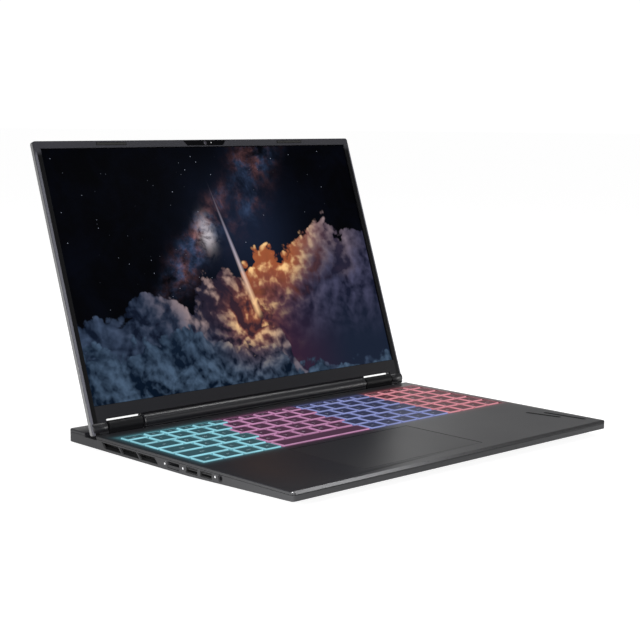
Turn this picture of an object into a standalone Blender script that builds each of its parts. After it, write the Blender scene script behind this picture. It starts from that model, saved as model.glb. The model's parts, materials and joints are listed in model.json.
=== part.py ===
"""Laptop computer with a full keyboard, modelled as separate pieces.

The front edge faces -Y, +X is the user's right and the feet stand on z = 0.
Every size is written in millimetres and turned into metres by MM.
"""
import math

import bmesh
import bpy
from mathutils import Matrix, Vector

MM = 0.001

# Outer sizes of the base and heights above the table.
WIDTH = 357.0
DEPTH = 270.0
CORNER = 2.8
DECK_TOP = 13.0
DECK_SKIN = 1.2
WALL = 1.6
SEAM_TOP = 10.7
SEAM_BOTTOM = 10.4
PAN_BOTTOM = 2.3
PAN_SKIN = 1.1
GAP = 0.35

# Undercut of the bottom cover: heights of its lower edge, where the side's edge starts to climb
# towards the front, and its slopes.
EDGE_SIDE = 2.6
EDGE_FRONT = 6.2
EDGE_REAR = 3.2
CLIMB_START = -20.0
SIDE_RISE = 0.031
SIDE_SLOPE = 0.3
FRONT_SLOPE = 0.125
REAR_SLOPE = 0.16

# Lid, measured from the hinge axis: UP along the lid, FACE towards the viewer.
HINGE_Y = 104.8
HINGE_Z = 16.7
LID_TILT = 19.3
LID_BOTTOM = -6.0
LID_TOP = 239.3
LID_FACE = 2.93
LID_BACK = -2.67
LID_WALL_FACE = 1.3
LID_CORNER = 2.4
BEZEL_BACK = 1.6
SCREEN_HALF = 172.4
SCREEN_BOTTOM = 17.4
SCREEN_TOP = 232.9
CUTOUT_INNER = 128.5
CUTOUT_OUTER = 163.5
CUTOUT_TOP = 6.6

# Trough in the deck that the lid's lower end turns in.
TROUGH_FRONT = 96.5
TROUGH_REAR = 112.5
TROUGH_FLOOR = 9.5

# Keyboard: outer edges, rows from the front, key gap and heights.
KEYS_LEFT = -169.8
KEYS_RIGHT = 170.2
KEYS_FRONT = -28.0
ROW_PITCH = 19.0
SHORT_ROW = 13.0
KEY_GAP = 2.2
KEY_BOTTOM = 11.9
KEY_TOP = 13.3
KEY_DRAFT = 0.5
PLATE_TOP = 10.4
PLATE_BOTTOM = 9.6
MAIN_END = 102.4
PAD_COLUMN = 16.95

# Touchpad.
TOUCH_LEFT = -95.0
TOUCH_RIGHT = 35.5
TOUCH_FRONT = -120.0
TOUCH_REAR = -38.7

# Fans.
FAN_X = 124.0
FAN_Y = 51.0
FAN_HALF = 38.0
FAN_RADIUS = 33.0
BLADES = 19

LID_REACH = LID_TOP * math.sin(math.radians(LID_TILT)) - LID_BACK * math.cos(math.radians(LID_TILT))
REAR_MOST = HINGE_Y + LID_REACH
MIDDLE_Y = (REAR_MOST - DEPTH / 2) / 2

for old in list(bpy.data.objects):
    bpy.data.objects.remove(old, do_unlink=True)

parts = bpy.data.collections.new("laptop_computer")
bpy.context.scene.collection.children.link(parts)
cutters = bpy.data.collections.new("cutters")
bpy.context.scene.collection.children.link(cutters)

root = bpy.data.objects.new("root", None)
root.location = (0, -MIDDLE_Y * MM, 0)
parts.objects.link(root)

lid_pivot = bpy.data.objects.new("lid_pivot", None)
lid_pivot.parent = root
lid_pivot.location = (0, HINGE_Y * MM, HINGE_Z * MM)
lid_pivot.rotation_euler = (math.radians(90.0 - LID_TILT), 0, 0)
parts.objects.link(lid_pivot)

# Axes for outlines drawn on the side (Y, Z) and on the front (X, Z).
SIDE_PLANE = Matrix(((0, 0, 1, 0), (1, 0, 0, 0), (0, 1, 0, 0), (0, 0, 0, 1)))
FRONT_PLANE = Matrix(((1, 0, 0, 0), (0, 0, -1, 0), (0, 1, 0, 0), (0, 0, 0, 1)))


def material(name, colour, roughness, metallic):
    """Make a plain surface of one colour."""
    new = bpy.data.materials.new(name)
    new.use_nodes = True
    shader = new.node_tree.nodes["Principled BSDF"]
    shader.inputs["Base Color"].default_value = (*colour, 1)
    shader.inputs["Roughness"].default_value = roughness
    shader.inputs["Metallic"].default_value = metallic
    new.diffuse_color = (*colour, 1)
    return new


SHELL = material("shell_metal", (0.045, 0.046, 0.05), 0.42, 0.8)
COVER = material("cover_metal", (0.035, 0.036, 0.04), 0.5, 0.6)
PLASTIC = material("black_plastic", (0.018, 0.018, 0.02), 0.5, 0.0)
KEYCAP = material("keycap", (0.02, 0.024, 0.03), 0.55, 0.0)
GLASS = material("display_glass", (0.02, 0.035, 0.08), 0.12, 0.0)
GLOSS = material("gloss_black", (0.01, 0.01, 0.012), 0.08, 0.0)
STEEL = material("steel", (0.55, 0.55, 0.56), 0.3, 1.0)
COPPER = material("copper", (0.72, 0.35, 0.2), 0.3, 1.0)
ALLOY = material("aluminium", (0.6, 0.6, 0.61), 0.4, 1.0)
BOARD = material("circuit_board", (0.02, 0.07, 0.045), 0.5, 0.0)
RUBBER = material("rubber", (0.02, 0.02, 0.02), 0.85, 0.0)
CELL = material("battery_wrap", (0.03, 0.03, 0.032), 0.45, 0.0)
GLOW = material("backlight_sheet", (0.35, 0.5, 0.7), 0.6, 0.0)


def add_object(name, mesh, surface, parent=root):
    """Put a mesh in the scene as one piece."""
    new = bpy.data.objects.new(name, mesh)
    new.parent = parent
    mesh.materials.clear()
    mesh.materials.append(surface)
    parts.objects.link(new)
    return new


def add_cutter(mesh, parent=root):
    """Put a mesh in the scene as a tool that shapes another piece."""
    new = bpy.data.objects.new("cutter", mesh)
    new.parent = parent
    new.hide_render = True
    new.display_type = "WIRE"
    cutters.objects.link(new)
    return new


def combine(target, mesh, operation="DIFFERENCE", parent=root):
    """Cut a mesh out of a piece, or join it to the piece."""
    step = target.modifiers.new("shape", "BOOLEAN")
    step.operation = operation
    step.object = add_cutter(mesh, parent)
    step.solver = "EXACT"


def finish_mesh(shape, name):
    """Turn an edited shape in millimetres into a mesh in metres."""
    bmesh.ops.scale(shape, vec=(MM, MM, MM), verts=shape.verts)
    bmesh.ops.recalc_face_normals(shape, faces=shape.faces)
    mesh = bpy.data.meshes.new(name)
    shape.to_mesh(mesh)
    shape.free()
    return mesh


def add_block(shape, low, high, draft=0.0):
    """Add a box between two corners, its top drawn in by the draft."""
    made = bmesh.ops.create_cube(shape, size=1.0)["verts"]
    for vert in made:
        top = vert.co.z > 0
        for axis in range(3):
            share = vert.co[axis] + 0.5
            vert.co[axis] = low[axis] + share * (high[axis] - low[axis])
            if top and axis < 2:
                vert.co[axis] += draft if share < 0.5 else -draft


def blocks(spans, draft=0.0):
    """Mesh of one or more boxes, each given as x0, x1, y0, y1, z0, z1."""
    shape = bmesh.new()
    for x0, x1, y0, y1, z0, z1 in spans:
        add_block(shape, (x0, y0, z0), (x1, y1, z1), draft)
    return finish_mesh(shape, "blocks")


def rod(centre, radius, length, direction="X", segments=24):
    """Mesh of a round bar that starts at the centre and runs along one axis."""
    shape = bmesh.new()
    bmesh.ops.create_cone(
        shape, cap_ends=True, segments=segments, radius1=radius, radius2=radius, depth=length
    )
    bmesh.ops.translate(shape, vec=(0, 0, length / 2), verts=shape.verts)
    turn = {
        "X": Matrix.Rotation(math.radians(90), 3, "Y"),
        "Y": Matrix.Rotation(math.radians(-90), 3, "X"),
        "Z": Matrix.Identity(3),
    }[direction]
    bmesh.ops.rotate(shape, cent=(0, 0, 0), matrix=turn, verts=shape.verts)
    bmesh.ops.translate(shape, vec=centre, verts=shape.verts)
    return finish_mesh(shape, "rod")


def rounded(x0, x1, y0, y1, radius, steps=4):
    """Corner points of a rectangle with rounded corners, anticlockwise."""
    points = []
    centres = (
        (x1 - radius, y1 - radius, 0),
        (x0 + radius, y1 - radius, 90),
        (x0 + radius, y0 + radius, 180),
        (x1 - radius, y0 + radius, 270),
    )
    for cx, cy, start in centres:
        for step in range(steps + 1):
            angle = math.radians(start + 90 * step / steps)
            points.append((cx + radius * math.cos(angle), cy + radius * math.sin(angle)))
    return points


def plate(loops, z0, z1, plane=None):
    """Edited shape of a flat outline with a thickness, holes included."""
    curve = bpy.data.curves.new("outline", "CURVE")
    curve.dimensions = "2D"
    curve.fill_mode = "BOTH"
    curve.extrude = (z1 - z0) / 2
    for loop in loops:
        spline = curve.splines.new("POLY")
        spline.points.add(len(loop) - 1)
        for point, (x, y) in zip(spline.points, loop):
            point.co = (x, y, 0, 1)
        spline.use_cyclic_u = True
    holder = bpy.data.objects.new("outline", curve)
    bpy.context.scene.collection.objects.link(holder)
    bpy.context.view_layer.update()
    graph = bpy.context.evaluated_depsgraph_get()
    mesh = bpy.data.meshes.new_from_object(holder.evaluated_get(graph))
    bpy.data.objects.remove(holder)
    shape = bmesh.new()
    shape.from_mesh(mesh)
    bmesh.ops.remove_doubles(shape, verts=shape.verts, dist=0.0005)
    bmesh.ops.recalc_face_normals(shape, faces=shape.faces)
    flat = math.radians(1)
    bmesh.ops.dissolve_limit(shape, angle_limit=flat, verts=shape.verts, edges=shape.edges)
    bmesh.ops.translate(shape, vec=(0, 0, (z0 + z1) / 2), verts=shape.verts)
    if plane is not None:
        bmesh.ops.transform(shape, matrix=plane, verts=shape.verts)
    return shape


def plate_mesh(loops, z0, z1, plane=None):
    """Mesh of a flat outline with a thickness."""
    return finish_mesh(plate(loops, z0, z1, plane), "plate")


def ease_edges(shape, chosen, width, segments=2):
    """Round the chosen edges of an edited shape."""
    edges = [edge for edge in shape.edges if all(chosen(vert.co) for vert in edge.verts)]
    bmesh.ops.bevel(
        shape, geom=edges, offset=width, segments=segments, profile=0.5, affect="EDGES"
    )


def slice_off(shape, point, normal):
    """Cut away what lies beyond a plane and close the cut."""
    parts_of = list(shape.verts) + list(shape.edges) + list(shape.faces)
    bmesh.ops.bisect_plane(
        shape, geom=parts_of, dist=0.0001, plane_co=point, plane_no=normal, clear_outer=True
    )
    rim = [edge for edge in shape.edges if edge.is_boundary]
    bmesh.ops.holes_fill(shape, edges=rim, sides=0)


def tub(inset, floor, top, lift):
    """Bottom cover's block: a rounded slab with its four lower edges undercut."""
    half_x = WIDTH / 2 - inset
    half_y = DEPTH / 2 - inset
    shape = plate([rounded(-half_x, half_x, -half_y, half_y, CORNER - inset)], floor, top)
    for side in (-1, 1):
        for rise in (-SIDE_RISE, 0):
            at = Vector((side * WIDTH / 2, CLIMB_START, EDGE_SIDE + lift))
            slice_off(shape, at, Vector((side * SIDE_SLOPE, rise, -1)).normalized())
    at = Vector((0, -DEPTH / 2, EDGE_FRONT + lift))
    slice_off(shape, at, Vector((0, -FRONT_SLOPE, -1)).normalized())
    at = Vector((0, DEPTH / 2, EDGE_REAR + lift))
    slice_off(shape, at, Vector((0, REAR_SLOPE, -1)).normalized())
    return finish_mesh(shape, "tub")


def mirrored(spans):
    """The given boxes and their copies on the other side of X = 0."""
    copies = [(-x1, -x0, y0, y1, z0, z1) for x0, x1, y0, y1, z0, z1 in spans]
    return spans + copies


def move_origin(piece, origin):
    """Set a piece's origin without moving the piece."""
    spot = Vector(origin) * MM
    piece.data.transform(Matrix.Translation(-spot))
    piece.location = spot


def smooth(piece, angle=35):
    """Shade a round piece smooth, with its sharp edges kept."""
    piece.data.shade_smooth()
    piece.data.set_sharp_from_angle(angle=math.radians(angle))


# Ports in the side walls: y0, y1, z0, z1 of each connector's body.
LEFT_PORTS = {
    "ethernet_port": (-9.2, 4.2, 4.7, 9.25),
    "usb_a_left_rear": (-31.0, -18.0, 5.3, 9.25),
    "usb_a_left_front": (-47.6, -34.6, 5.45, 9.25),
}
RIGHT_PORTS = {
    "usb_a_right": (-37.0, -24.0, 5.3, 9.25),
    "card_slot": (-56.0, -43.0, 6.4, 9.2),
}
REAR_PORTS = {
    "hdmi_port": (-34.0, -18.0, 6.3, 9.7),
    "usb_c_port": (-8.0, 2.0, 6.3, 9.7),
}
JACK_Y = -57.5
JACK_Z = 7.9
JACK_RADIUS = 2.4
POWER_X = 26.0
POWER_Z = 7.95

VENT_TOP = 9.3
VENT_BOTTOM = 4.6
VENT_SLANT = 4.6
VENT_ENDS = ((67.6, 89.7), (44.1, 66.2), (20.6, 42.7))

FEET = {
    "foot_front_left": (-118.0, -62.0, -84.0, -76.0),
    "foot_front_right": (62.0, 118.0, -84.0, -76.0),
    "foot_rear_left": (-148.0, -40.0, 98.0, 108.0),
    "foot_rear_right": (40.0, 148.0, 98.0, 108.0),
}


def make_top_case():
    """Deck with its skirt, keyboard and touchpad openings and hinge trough."""
    half_x = WIDTH / 2
    half_y = DEPTH / 2
    body = plate([rounded(-half_x, half_x, -half_y, half_y, CORNER)], SEAM_TOP, DECK_TOP)
    ease_edges(body, lambda co: co.z > DECK_TOP - 0.01, 0.6)
    piece = add_object("top_case", finish_mesh(body, "top_case"), SHELL)
    inner = rounded(-half_x + WALL, half_x - WALL, -half_y + WALL, half_y - WALL, CORNER - WALL)
    combine(piece, plate_mesh([inner], SEAM_TOP - 1, DECK_TOP - DECK_SKIN))
    well = (KEYS_LEFT - 2.2, KEYS_RIGHT + 2.2, KEYS_FRONT - 2.2, keys_rear() + 2.2)
    rim = blocks([(*well, SEAM_TOP + 0.1, DECK_TOP - DECK_SKIN + 0.3)])
    combine(piece, rim, "UNION")
    trough_block = (-176.2, 176.2, TROUGH_FRONT - 1.2, TROUGH_REAR + 1.2)
    combine(piece, blocks([(*trough_block, TROUGH_FLOOR - 1, DECK_TOP - 0.5)]), "UNION")
    openings = [
        (KEYS_LEFT - 0.8, KEYS_RIGHT + 0.8, KEYS_FRONT - 0.8, keys_rear() + 0.8, 10, 14),
        (TOUCH_LEFT - 0.4, TOUCH_RIGHT + 0.4, TOUCH_FRONT - 0.4, TOUCH_REAR + 0.4, 10, 14),
        (-181, 181, TROUGH_FRONT, TROUGH_REAR, TROUGH_FLOOR, 14),
    ]
    combine(piece, blocks(openings))


def keys_rear():
    """Rear edge of the keyboard."""
    return KEYS_FRONT + 5 * ROW_PITCH + SHORT_ROW


def side_vents(side):
    """Cutters of the three slanted outlets in one side wall."""
    meshes = []
    for front, rear in VENT_ENDS:
        outline = [
            (front, VENT_TOP),
            (rear, VENT_TOP),
            (rear - VENT_SLANT, VENT_BOTTOM),
            (front - VENT_SLANT, VENT_BOTTOM),
        ]
        inner = side * 175.2
        outer = side * 181.0
        meshes.append(plate_mesh([outline], min(inner, outer), max(inner, outer), SIDE_PLANE))
    return meshes


def make_bottom_cover():
    """Bottom pan with its vents, port holes, lid notches and foot pockets."""
    piece = add_object("bottom_cover", tub(0.0, PAN_BOTTOM, SEAM_BOTTOM, 0.0), COVER)
    combine(piece, tub(WALL, PAN_BOTTOM + PAN_SKIN, DECK_TOP, PAN_SKIN + 0.1))
    holes = []
    notch = (175.0, 181.0, TROUGH_FRONT - 0.3, TROUGH_REAR + 0.3, TROUGH_FLOOR - 0.1, 12)
    holes.append(notch)
    holes.append((-181.0, -175.0, *notch[2:]))
    for y0, y1, z0, z1 in LEFT_PORTS.values():
        holes.append((-181.0, -175.0, y0 - GAP, y1 + GAP, z0 - GAP, z1 + GAP))
    for y0, y1, z0, z1 in RIGHT_PORTS.values():
        holes.append((175.0, 181.0, y0 - GAP, y1 + GAP, z0 - GAP, z1 + GAP))
    for x0, x1, z0, z1 in REAR_PORTS.values():
        holes.append((x0 - GAP, x1 + GAP, 119.0, 137.0, z0 - GAP, z1 + GAP))
    for column in range(14):
        start = 58.0 + 7.0 * column
        holes.append((start, start + 5.4, 131.0, 137.0, 6.8, 9.6))
        holes.append((-start - 5.4, -start, 131.0, 137.0, 6.8, 9.6))
    combine(piece, blocks(holes))
    intakes = []
    for row in range(7):
        y = FAN_Y - 30.0 + 9.0 * row
        intakes.append((FAN_X - 32.0, FAN_X - 2.0, y, y + 3.5, 1.0, 4.0))
        intakes.append((FAN_X + 2.0, FAN_X + 32.0, y, y + 3.5, 1.0, 4.0))
    combine(piece, blocks(mirrored(intakes)))
    pockets = []
    for x0, x1, y0, y1 in FEET.values():
        pockets.append((x0 - GAP, x1 + GAP, y0 - GAP, y1 + GAP, 1.0, 2.85))
    combine(piece, blocks(pockets))
    for side in (-1, 1):
        for mesh in side_vents(side):
            combine(piece, mesh)
    combine(piece, rod((-181, JACK_Y, JACK_Z), JACK_RADIUS + GAP, 6.0))
    combine(piece, rod((POWER_X, 119.0, POWER_Z), 2.05 + GAP, 18.0, "Y"))


def make_feet():
    """Four rubber strips held in pockets of the bottom cover."""
    for name, (x0, x1, y0, y1) in FEET.items():
        shape = plate([rounded(x0, x1, y0, y1, 3.0, 3)], 0.0, 2.5)
        add_object(name, finish_mesh(shape, name), RUBBER)


def make_keyboard_plate():
    """Backlight sheet and steel plate that carries the keys."""
    edges = (KEYS_LEFT - 2.0, KEYS_RIGHT + 2.0, KEYS_FRONT - 2.0, keys_rear() + 2.0)
    add_object("keyboard_plate", blocks([(*edges, PLATE_BOTTOM, PLATE_TOP)]), GLOW)


def main_widths():
    """Key widths of each row's main block, front row first."""
    letter = 19.0
    rows = [
        [21.0, 20.0, 20.0, 18.3, 97.0, 19.0, 18.5, 19.4, 19.5],
        [42.3] + [letter] * 10 + [19.9],
        [33.0] + [letter] * 11,
        [28.5] + [letter] * 12,
        [18.0] + [letter] * 12,
        [22.5] + [16.5] * 14,
    ]
    for row in rows:
        row.append(MAIN_END - KEYS_LEFT - sum(row))
        row.extend([PAD_COLUMN] * 4)
    return rows


# Keys with a node of their own: row and place in the row.
SINGLE_KEYS = {
    "key_space": (0, 4),
    "key_enter": (2, 12),
    "key_backspace": (4, 13),
    "key_escape": (5, 0),
    "key_power": (5, 19),
}
ROW_NAMES = (
    "keys_bottom_row",
    "keys_shift_row",
    "keys_home_row",
    "keys_tab_row",
    "keys_number_row",
    "keys_function_row",
)


def key_spans(row, widths):
    """Box of each key in a row, from left to right."""
    y0 = KEYS_FRONT + row * ROW_PITCH
    y1 = y0 + (SHORT_ROW if row == 5 else ROW_PITCH)
    spans = []
    x = KEYS_LEFT
    for width in widths:
        span = (x + KEY_GAP / 2, x + width - KEY_GAP / 2, y0 + KEY_GAP / 2, y1 - KEY_GAP / 2)
        spans.append((*span, KEY_BOTTOM, KEY_TOP))
        x += width
    return spans


def make_keys():
    """Six rows of keys, each on its own rail, and the keys that stand alone."""
    places = {place: name for name, place in SINGLE_KEYS.items()}
    for row, widths in enumerate(main_widths()):
        spans = key_spans(row, widths)
        in_row = []
        for column, span in enumerate(spans):
            x0, x1, y0, y1, z0, z1 = span
            name = places.get((row, column))
            if name is None:
                in_row.append(span)
            else:
                alone = (x0, x1, y0, y1 - 0.4, z0, z1)
                piece = add_object(name, blocks([alone], KEY_DRAFT), KEYCAP)
                move_origin(piece, ((x0 + x1) / 2, (y0 + y1) / 2, z0))
        first = in_row[0]
        last = in_row[-1]
        rail_y = first[3]
        rail = (first[0], last[1], rail_y - 0.1, rail_y + 0.8, KEY_BOTTOM, KEY_BOTTOM + 0.6)
        piece = add_object(ROW_NAMES[row], blocks([rail]), KEYCAP)
        combine(piece, blocks(in_row, KEY_DRAFT), "UNION")


def make_touchpad():
    """Glass plate that clicks down into the palm rest."""
    outline = rounded(TOUCH_LEFT, TOUCH_RIGHT, TOUCH_FRONT, TOUCH_REAR, 0.8, 2)
    piece = add_object("touchpad", plate_mesh([outline], 11.5, DECK_TOP - 0.08), SHELL)
    move_origin(piece, ((TOUCH_LEFT + TOUCH_RIGHT) / 2, (TOUCH_FRONT + TOUCH_REAR) / 2, 11.5))


def socket_outline(face, deep, z0, z1):
    """Side view of a connector's opening with a tongue standing in it."""
    middle = (z0 + z1) / 2
    inset = (deep - face) * 0.15
    return [
        (face, z0),
        (deep, z0),
        (deep, middle + 0.1),
        (face + inset, middle + 0.1),
        (face + inset, middle + 0.9),
        (deep, middle + 0.9),
        (deep, z1),
        (face, z1),
    ]


def make_side_port(name, side, span):
    """Connector in a side wall, with its tongue."""
    y0, y1, z0, z1 = span
    face = side * 178.2
    back = side * 164.0
    body = [(min(face, back), max(face, back), y0, y1, z0, z1)]
    piece = add_object(name, blocks(body), STEEL)
    outline = socket_outline(side * 179.5, side * 166.5, z0 + 0.5, z1 - 0.5)
    combine(piece, plate_mesh([outline], -y1 + 0.5, -y0 - 0.5, FRONT_PLANE))


def make_rear_port(name, span):
    """Connector in the rear wall, with its tongue."""
    x0, x1, z0, z1 = span
    piece = add_object(name, blocks([(x0, x1, 121.0, 134.7, z0, z1)]), STEEL)
    outline = socket_outline(136.0, 123.0, z0 + 0.5, z1 - 0.5)
    combine(piece, plate_mesh([outline], x0 + 0.5, x1 - 0.5, SIDE_PLANE))


def make_ports():
    """All the connectors around the base."""
    for name in ("usb_a_left_rear", "usb_a_left_front"):
        make_side_port(name, -1, LEFT_PORTS[name])
    make_side_port("usb_a_right", 1, RIGHT_PORTS["usb_a_right"])
    y0, y1, z0, z1 = RIGHT_PORTS["card_slot"]
    piece = add_object("card_slot", blocks([(160.0, 178.2, y0, y1, z0, z1)]), STEEL)
    combine(piece, blocks([(162.0, 180.0, y0 + 0.9, y1 - 0.9, z0 + 0.8, z1 - 0.8)]))
    for name, span in REAR_PORTS.items():
        make_rear_port(name, span)
    y0, y1, z0, z1 = LEFT_PORTS["ethernet_port"]
    piece = add_object("ethernet_port", blocks([(-177.0, -160.0, y0, y1, z0, z1)]), PLASTIC)
    combine(piece, blocks([(-180.0, -163.0, y0 + 1.0, y1 - 1.0, z0 + 0.5, z1 - 0.5)]))
    flap = [(-178.3, -177.4, y0 + 0.2, y1 - 0.2, z0, z0 + 2.2)]
    door = add_object("ethernet_door", blocks(flap), PLASTIC)
    move_origin(door, (-177.85, (y0 + y1) / 2, z0 + 0.45))
    barrel = add_object("audio_jack", rod((-178.2, JACK_Y, JACK_Z), JACK_RADIUS, 13.0), PLASTIC)
    combine(barrel, rod((-180.0, JACK_Y, JACK_Z), 1.75, 12.0))
    smooth(barrel)
    barrel = add_object("power_jack", rod((POWER_X, 121.0, POWER_Z), 2.05, 13.7, "Y"), PLASTIC)
    combine(barrel, rod((POWER_X, 124.0, POWER_Z), 1.5, 14.0, "Y"))
    smooth(barrel)


def make_boards():
    """Main board and the cards and modules that lie on it."""
    outline = [
        (-158.5, -62.0),
        (-128.0, -62.0),
        (-128.0, -33.0),
        (128.0, -33.0),
        (128.0, -62.0),
        (158.5, -62.0),
        (158.5, 8.0),
        (84.0, 8.0),
        (84.0, 92.0),
        (-84.0, 92.0),
        (-84.0, 8.0),
        (-158.5, 8.0),
    ]
    add_object("motherboard", plate_mesh([outline], 7.6, 8.6), BOARD)
    add_object("memory_module", blocks([(-36.0, 33.6, -29.0, 1.0, 4.2, 7.2)]), BOARD)
    add_object("ssd", blocks([(42.0, 122.0, -29.0, -7.0, 4.6, 7.2)]), BOARD)
    add_object("wifi_card", blocks([(-78.0, -48.0, -29.0, -7.0, 4.8, 7.2)]), BOARD)
    battery = [(-112.0, 112.0, -93.0, -38.0, 4.0, 9.2)]
    add_object("battery", blocks(battery), CELL)
    add_object("speaker_left", blocks([(-166.0, -134.0, -108.0, -70.0, 7.0, 10.6)]), PLASTIC)
    add_object("speaker_right", blocks([(134.0, 166.0, -108.0, -70.0, 7.0, 10.6)]), PLASTIC)


def comb(start, end, base, tip, pitch, fin):
    """Outline of a row of fins standing on a thin base."""
    points = [(start, base), (end, base)]
    count = int((end - start) / pitch)
    root_line = base + (0.6 if tip > base else -0.6)
    for index in range(count, 0, -1):
        right = start + index * pitch
        left = right - fin
        points.extend([(right, tip), (left, tip), (left, root_line)])
        points.append((left - (pitch - fin), root_line))
    points[-1] = (start, root_line)
    return points


def make_fins():
    """Two fin stacks along the sides and two along the rear."""
    pitch = 2.0
    for side, name in ((-1, "fin_stack_side_left"), (1, "fin_stack_side_right")):
        outline = comb(22.0, 88.0, 9.2, 6.4, pitch, 0.5)
        inner = side * 163.2
        outer = side * 174.4
        mesh = plate_mesh([outline], min(inner, outer), max(inner, outer), SIDE_PLANE)
        add_object(name, mesh, COPPER)
    for start, name in ((-150.0, "fin_stack_rear_left"), (66.0, "fin_stack_rear_right")):
        outline = comb(start, start + 84.0, 9.3, 6.0, pitch, 0.5)
        add_object(name, plate_mesh([outline], -129.0, -116.5, FRONT_PLANE), COPPER)


def make_cooling():
    """Cold plate on the processors and the two heat pipes."""
    add_object("heatsink", blocks([(-44.0, 44.0, 28.0, 68.0, 5.7, 7.2)]), COPPER)
    for side, name in ((-1, "heat_pipe_left"), (1, "heat_pipe_right")):
        path = [
            (side * 8.0, 48.0, 4.7),
            (side * 44.0, 62.0, 4.7),
            (side * 72.0, 92.0, 4.7),
            (side * 82.0, 104.0, 5.5),
            (side * 92.0, 111.0, 6.6),
            (side * 104.0, 114.4, 7.2),
            (side * 146.0, 114.4, 7.2),
        ]
        curve = bpy.data.curves.new(name, "CURVE")
        curve.dimensions = "3D"
        curve.bevel_depth = 0.9
        curve.bevel_resolution = 2
        curve.use_fill_caps = True
        spline = curve.splines.new("POLY")
        spline.points.add(len(path) - 1)
        for point, (x, y, z) in zip(spline.points, path):
            point.co = (x, y, z, 1)
        holder = bpy.data.objects.new("pipe", curve)
        bpy.context.scene.collection.objects.link(holder)
        bpy.context.view_layer.update()
        graph = bpy.context.evaluated_depsgraph_get()
        mesh = bpy.data.meshes.new_from_object(holder.evaluated_get(graph))
        bpy.data.objects.remove(holder)
        shape = bmesh.new()
        shape.from_mesh(mesh)
        bmesh.ops.remove_doubles(shape, verts=shape.verts, dist=0.0005)
        piece = add_object(name, finish_mesh(shape, name), COPPER)
        smooth(piece, 60)


def make_fans():
    """Two blowers: a housing with its outlets and a rotor on a post."""
    for side, word in ((-1, "left"), (1, "right")):
        cx = side * FAN_X
        body = rounded(cx - FAN_HALF, cx + FAN_HALF, FAN_Y - 39.0, FAN_Y + 39.0, 12.0, 3)
        housing = add_object("fan_housing_" + word, plate_mesh([body], 3.9, 9.2), PLASTIC)
        hollow = rounded(cx - 36.8, cx + 36.8, FAN_Y - 37.8, FAN_Y + 37.8, 11.0, 3)
        combine(housing, plate_mesh([hollow], 4.5, 8.6))
        outlets = [
            (cx - 22.0, cx + 22.0, FAN_Y + 34.0, FAN_Y + 42.0, 4.9, 8.2),
        ]
        outer = sorted((cx + side * 34.0, cx + side * 41.0))
        outlets.append((outer[0], outer[1], FAN_Y - 24.0, FAN_Y + 24.0, 4.9, 8.2))
        combine(housing, blocks(outlets))
        combine(housing, rod((cx, FAN_Y, 3.0), 24.0, 1.7, "Z", 32))
        combine(housing, rod((cx, FAN_Y, 5.4), 0.8, 3.5, "Z", 12), "UNION")
        outline = []
        for blade in range(BLADES):
            angle = math.tau * blade / BLADES
            for radius, turn in ((12.0, 0.0), (FAN_RADIUS, 0.34), (FAN_RADIUS, 0.37), (12.0, 0.07)):
                outline.append(
                    (cx + radius * math.cos(angle + turn), FAN_Y + radius * math.sin(angle + turn))
                )
        bore = [(x + cx, y + FAN_Y) for x, y in rounded(-1.2, 1.2, -1.2, 1.2, 1.2, 3)]
        rotor = add_object("fan_rotor_" + word, plate_mesh([outline, bore], 5.2, 7.9), PLASTIC)
        move_origin(rotor, (cx, FAN_Y, 5.2))


def make_hinge_blocks():
    """Hinge bodies that stand in the trough, each bored for its pin."""
    for side, word in ((-1, "left"), (1, "right")):
        start = -162.5 if side < 0 else 129.5
        barrel = rod((start, HINGE_Y, HINGE_Z), 5.0, 33.0, segments=32)
        piece = add_object("hinge_block_" + word, barrel, PLASTIC)
        neck = (start, start + 33.0, HINGE_Y - 4.4, HINGE_Y + 4.4, TROUGH_FLOOR + 0.3, HINGE_Z)
        combine(piece, blocks([neck]), "UNION")
        bore_start = -140.5 if side < 0 else 127.0
        combine(piece, rod((bore_start, HINGE_Y, HINGE_Z), 1.65, 13.5, segments=20))
        smooth(piece)


def cutout_spans():
    """Gaps in the lid's lower edge for the two hinge bodies."""
    return mirrored([(CUTOUT_INNER, CUTOUT_OUTER, LID_BOTTOM - 4, CUTOUT_TOP, -6, 6)])


def lid_outline(inset):
    """Outline of the lid seen from the front."""
    half = WIDTH / 2 - inset
    top = rounded(-half, half, LID_BOTTOM + inset, LID_TOP - inset, LID_CORNER - inset)
    return top


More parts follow.
